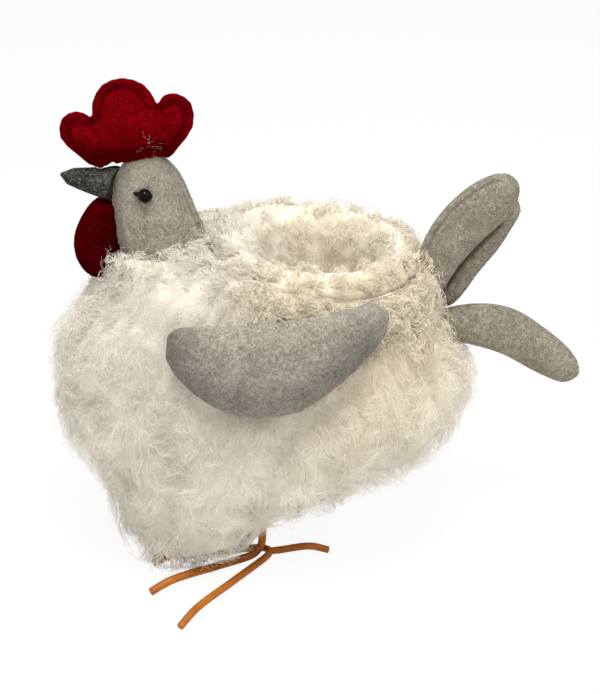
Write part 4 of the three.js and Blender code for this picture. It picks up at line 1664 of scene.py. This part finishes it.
# %% Bead foam
def bead_foam():
    material, shader, place = new_material("moulded_bead_foam")
    beads = add_node(material, "ShaderNodeTexVoronoi", {
        "Vector": place, "Scale": 1 / (2.5 * MM)})
    colour = blend(material, beads.outputs["Distance"], shade("#f4f3ef"), shade("#dddcd6"))
    relief = add_node(material, "ShaderNodeBump", {
        "Height": beads.outputs["Distance"], "Strength": 0.6, "Distance": 0.3 * MM},
        invert=True)
    set_inputs(material, shader, {
        "Base Color": colour, "Normal": relief.outputs["Normal"], "Roughness": 0.8})
    return material


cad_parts["foam_form"].material_slots[0].material = bead_foam()

# %% [markdown]
# ## Floor, backdrop and light
#
# The floor is a plain pale sheet. The camera sees it and the surroundings nearly white, while
# the object is lit at a plain level by a soft world and four large lamps: a strong one above
# and a little in front, a weak one in front on the left, one in front on the right, and one
# behind. Their reflections make the small lights on top of the bead.

# %% Floor and lamps
bpy.ops.object.select_all(action="DESELECT")
bpy.ops.mesh.primitive_plane_add(size=6)
floor = bpy.context.object
floor.name = "floor"
floor_paint, floor_shader, floor_place = new_material("matt_white_floor_paint")
speck = add_node(floor_paint, "ShaderNodeTexNoise", {"Vector": floor_place, "Scale": 400})
set_inputs(floor_paint, floor_shader, {
    "Base Color": blend(floor_paint, speck.outputs["Fac"], shade("#f4f4f3"), shade("#f7f7f6")),
    "Roughness": 0.9, "Specular IOR Level": 0.0})
FLOOR_GLOW = 0.93


def seen_directly(owner):
    """1 for a ray from the camera, also by way of a shiny or clear surface, else 0."""
    path = add_node(owner, "ShaderNodeLightPath")
    mirrored = add_node(owner, "ShaderNodeMath", {
        0: path.outputs["Is Camera Ray"], 1: path.outputs["Is Glossy Ray"]}, operation="MAXIMUM")
    return add_node(owner, "ShaderNodeMath", {
        0: mirrored.outputs[0], 1: path.outputs["Is Transmission Ray"]},
        operation="MAXIMUM").outputs[0]


glow_share = add_node(floor_paint, "ShaderNodeMath", {
    0: seen_directly(floor_paint), 1: FLOOR_GLOW}, operation="MULTIPLY")
glow = add_node(floor_paint, "ShaderNodeEmission", {"Color": (1, 1, 1, 1), "Strength": 1.0})
floor_mix = add_node(floor_paint, "ShaderNodeMixShader", {
    "Fac": glow_share.outputs[0], 1: floor_shader.outputs["BSDF"],
    2: glow.outputs["Emission"]})
set_inputs(floor_paint, floor_paint.node_tree.nodes["Material Output"], {
    "Surface": floor_mix.outputs["Shader"]})
floor.data.materials.append(floor_paint)
floor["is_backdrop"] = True

world = bpy.data.worlds.new("soft_room")
bpy.context.scene.world = world
world.use_nodes = True
room_light = world.node_tree.nodes["Background"]
set_inputs(world, room_light, {"Color": (1.0, 0.995, 0.985, 1), "Strength": 0.36})
backdrop = add_node(world, "ShaderNodeBackground", {"Color": (1, 1, 1, 1), "Strength": 1.0})
world_mix = add_node(world, "ShaderNodeMixShader", {
    "Fac": seen_directly(world), 1: room_light.outputs["Background"],
    2: backdrop.outputs["Background"]})
set_inputs(world, world.node_tree.nodes["World Output"], {
    "Surface": world_mix.outputs["Shader"]})

# Each lamp's place and size are in metres, and its power is in watts.
LAMPS = {
    "lamp_above": ((0.0, -0.45, 1.3), 0.5, 16.0),
    "lamp_front_left": ((-0.8, -0.75, 0.8), 0.45, 0.4),
    "lamp_front_right": ((0.75, -0.65, 0.95), 0.45, 3.0),
    "lamp_behind": ((0.1, 0.95, 0.9), 0.7, 3.5),
}
for name, (place, size, power) in LAMPS.items():
    lamp = bpy.data.objects.new(name, bpy.data.lights.new(name, "AREA"))
    bpy.context.scene.collection.objects.link(lamp)
    lamp.data.size = size
    lamp.data.energy = power
    lamp.location = place
    aim = Vector(place) - Vector((0, 0, 0.1))
    lamp.rotation_euler = aim.to_track_quat("Z", "Y").to_euler()

bpy.context.scene.view_settings.view_transform = "Standard"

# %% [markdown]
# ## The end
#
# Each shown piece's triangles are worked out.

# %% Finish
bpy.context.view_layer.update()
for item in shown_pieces():
    item.data.calc_loop_triangles()
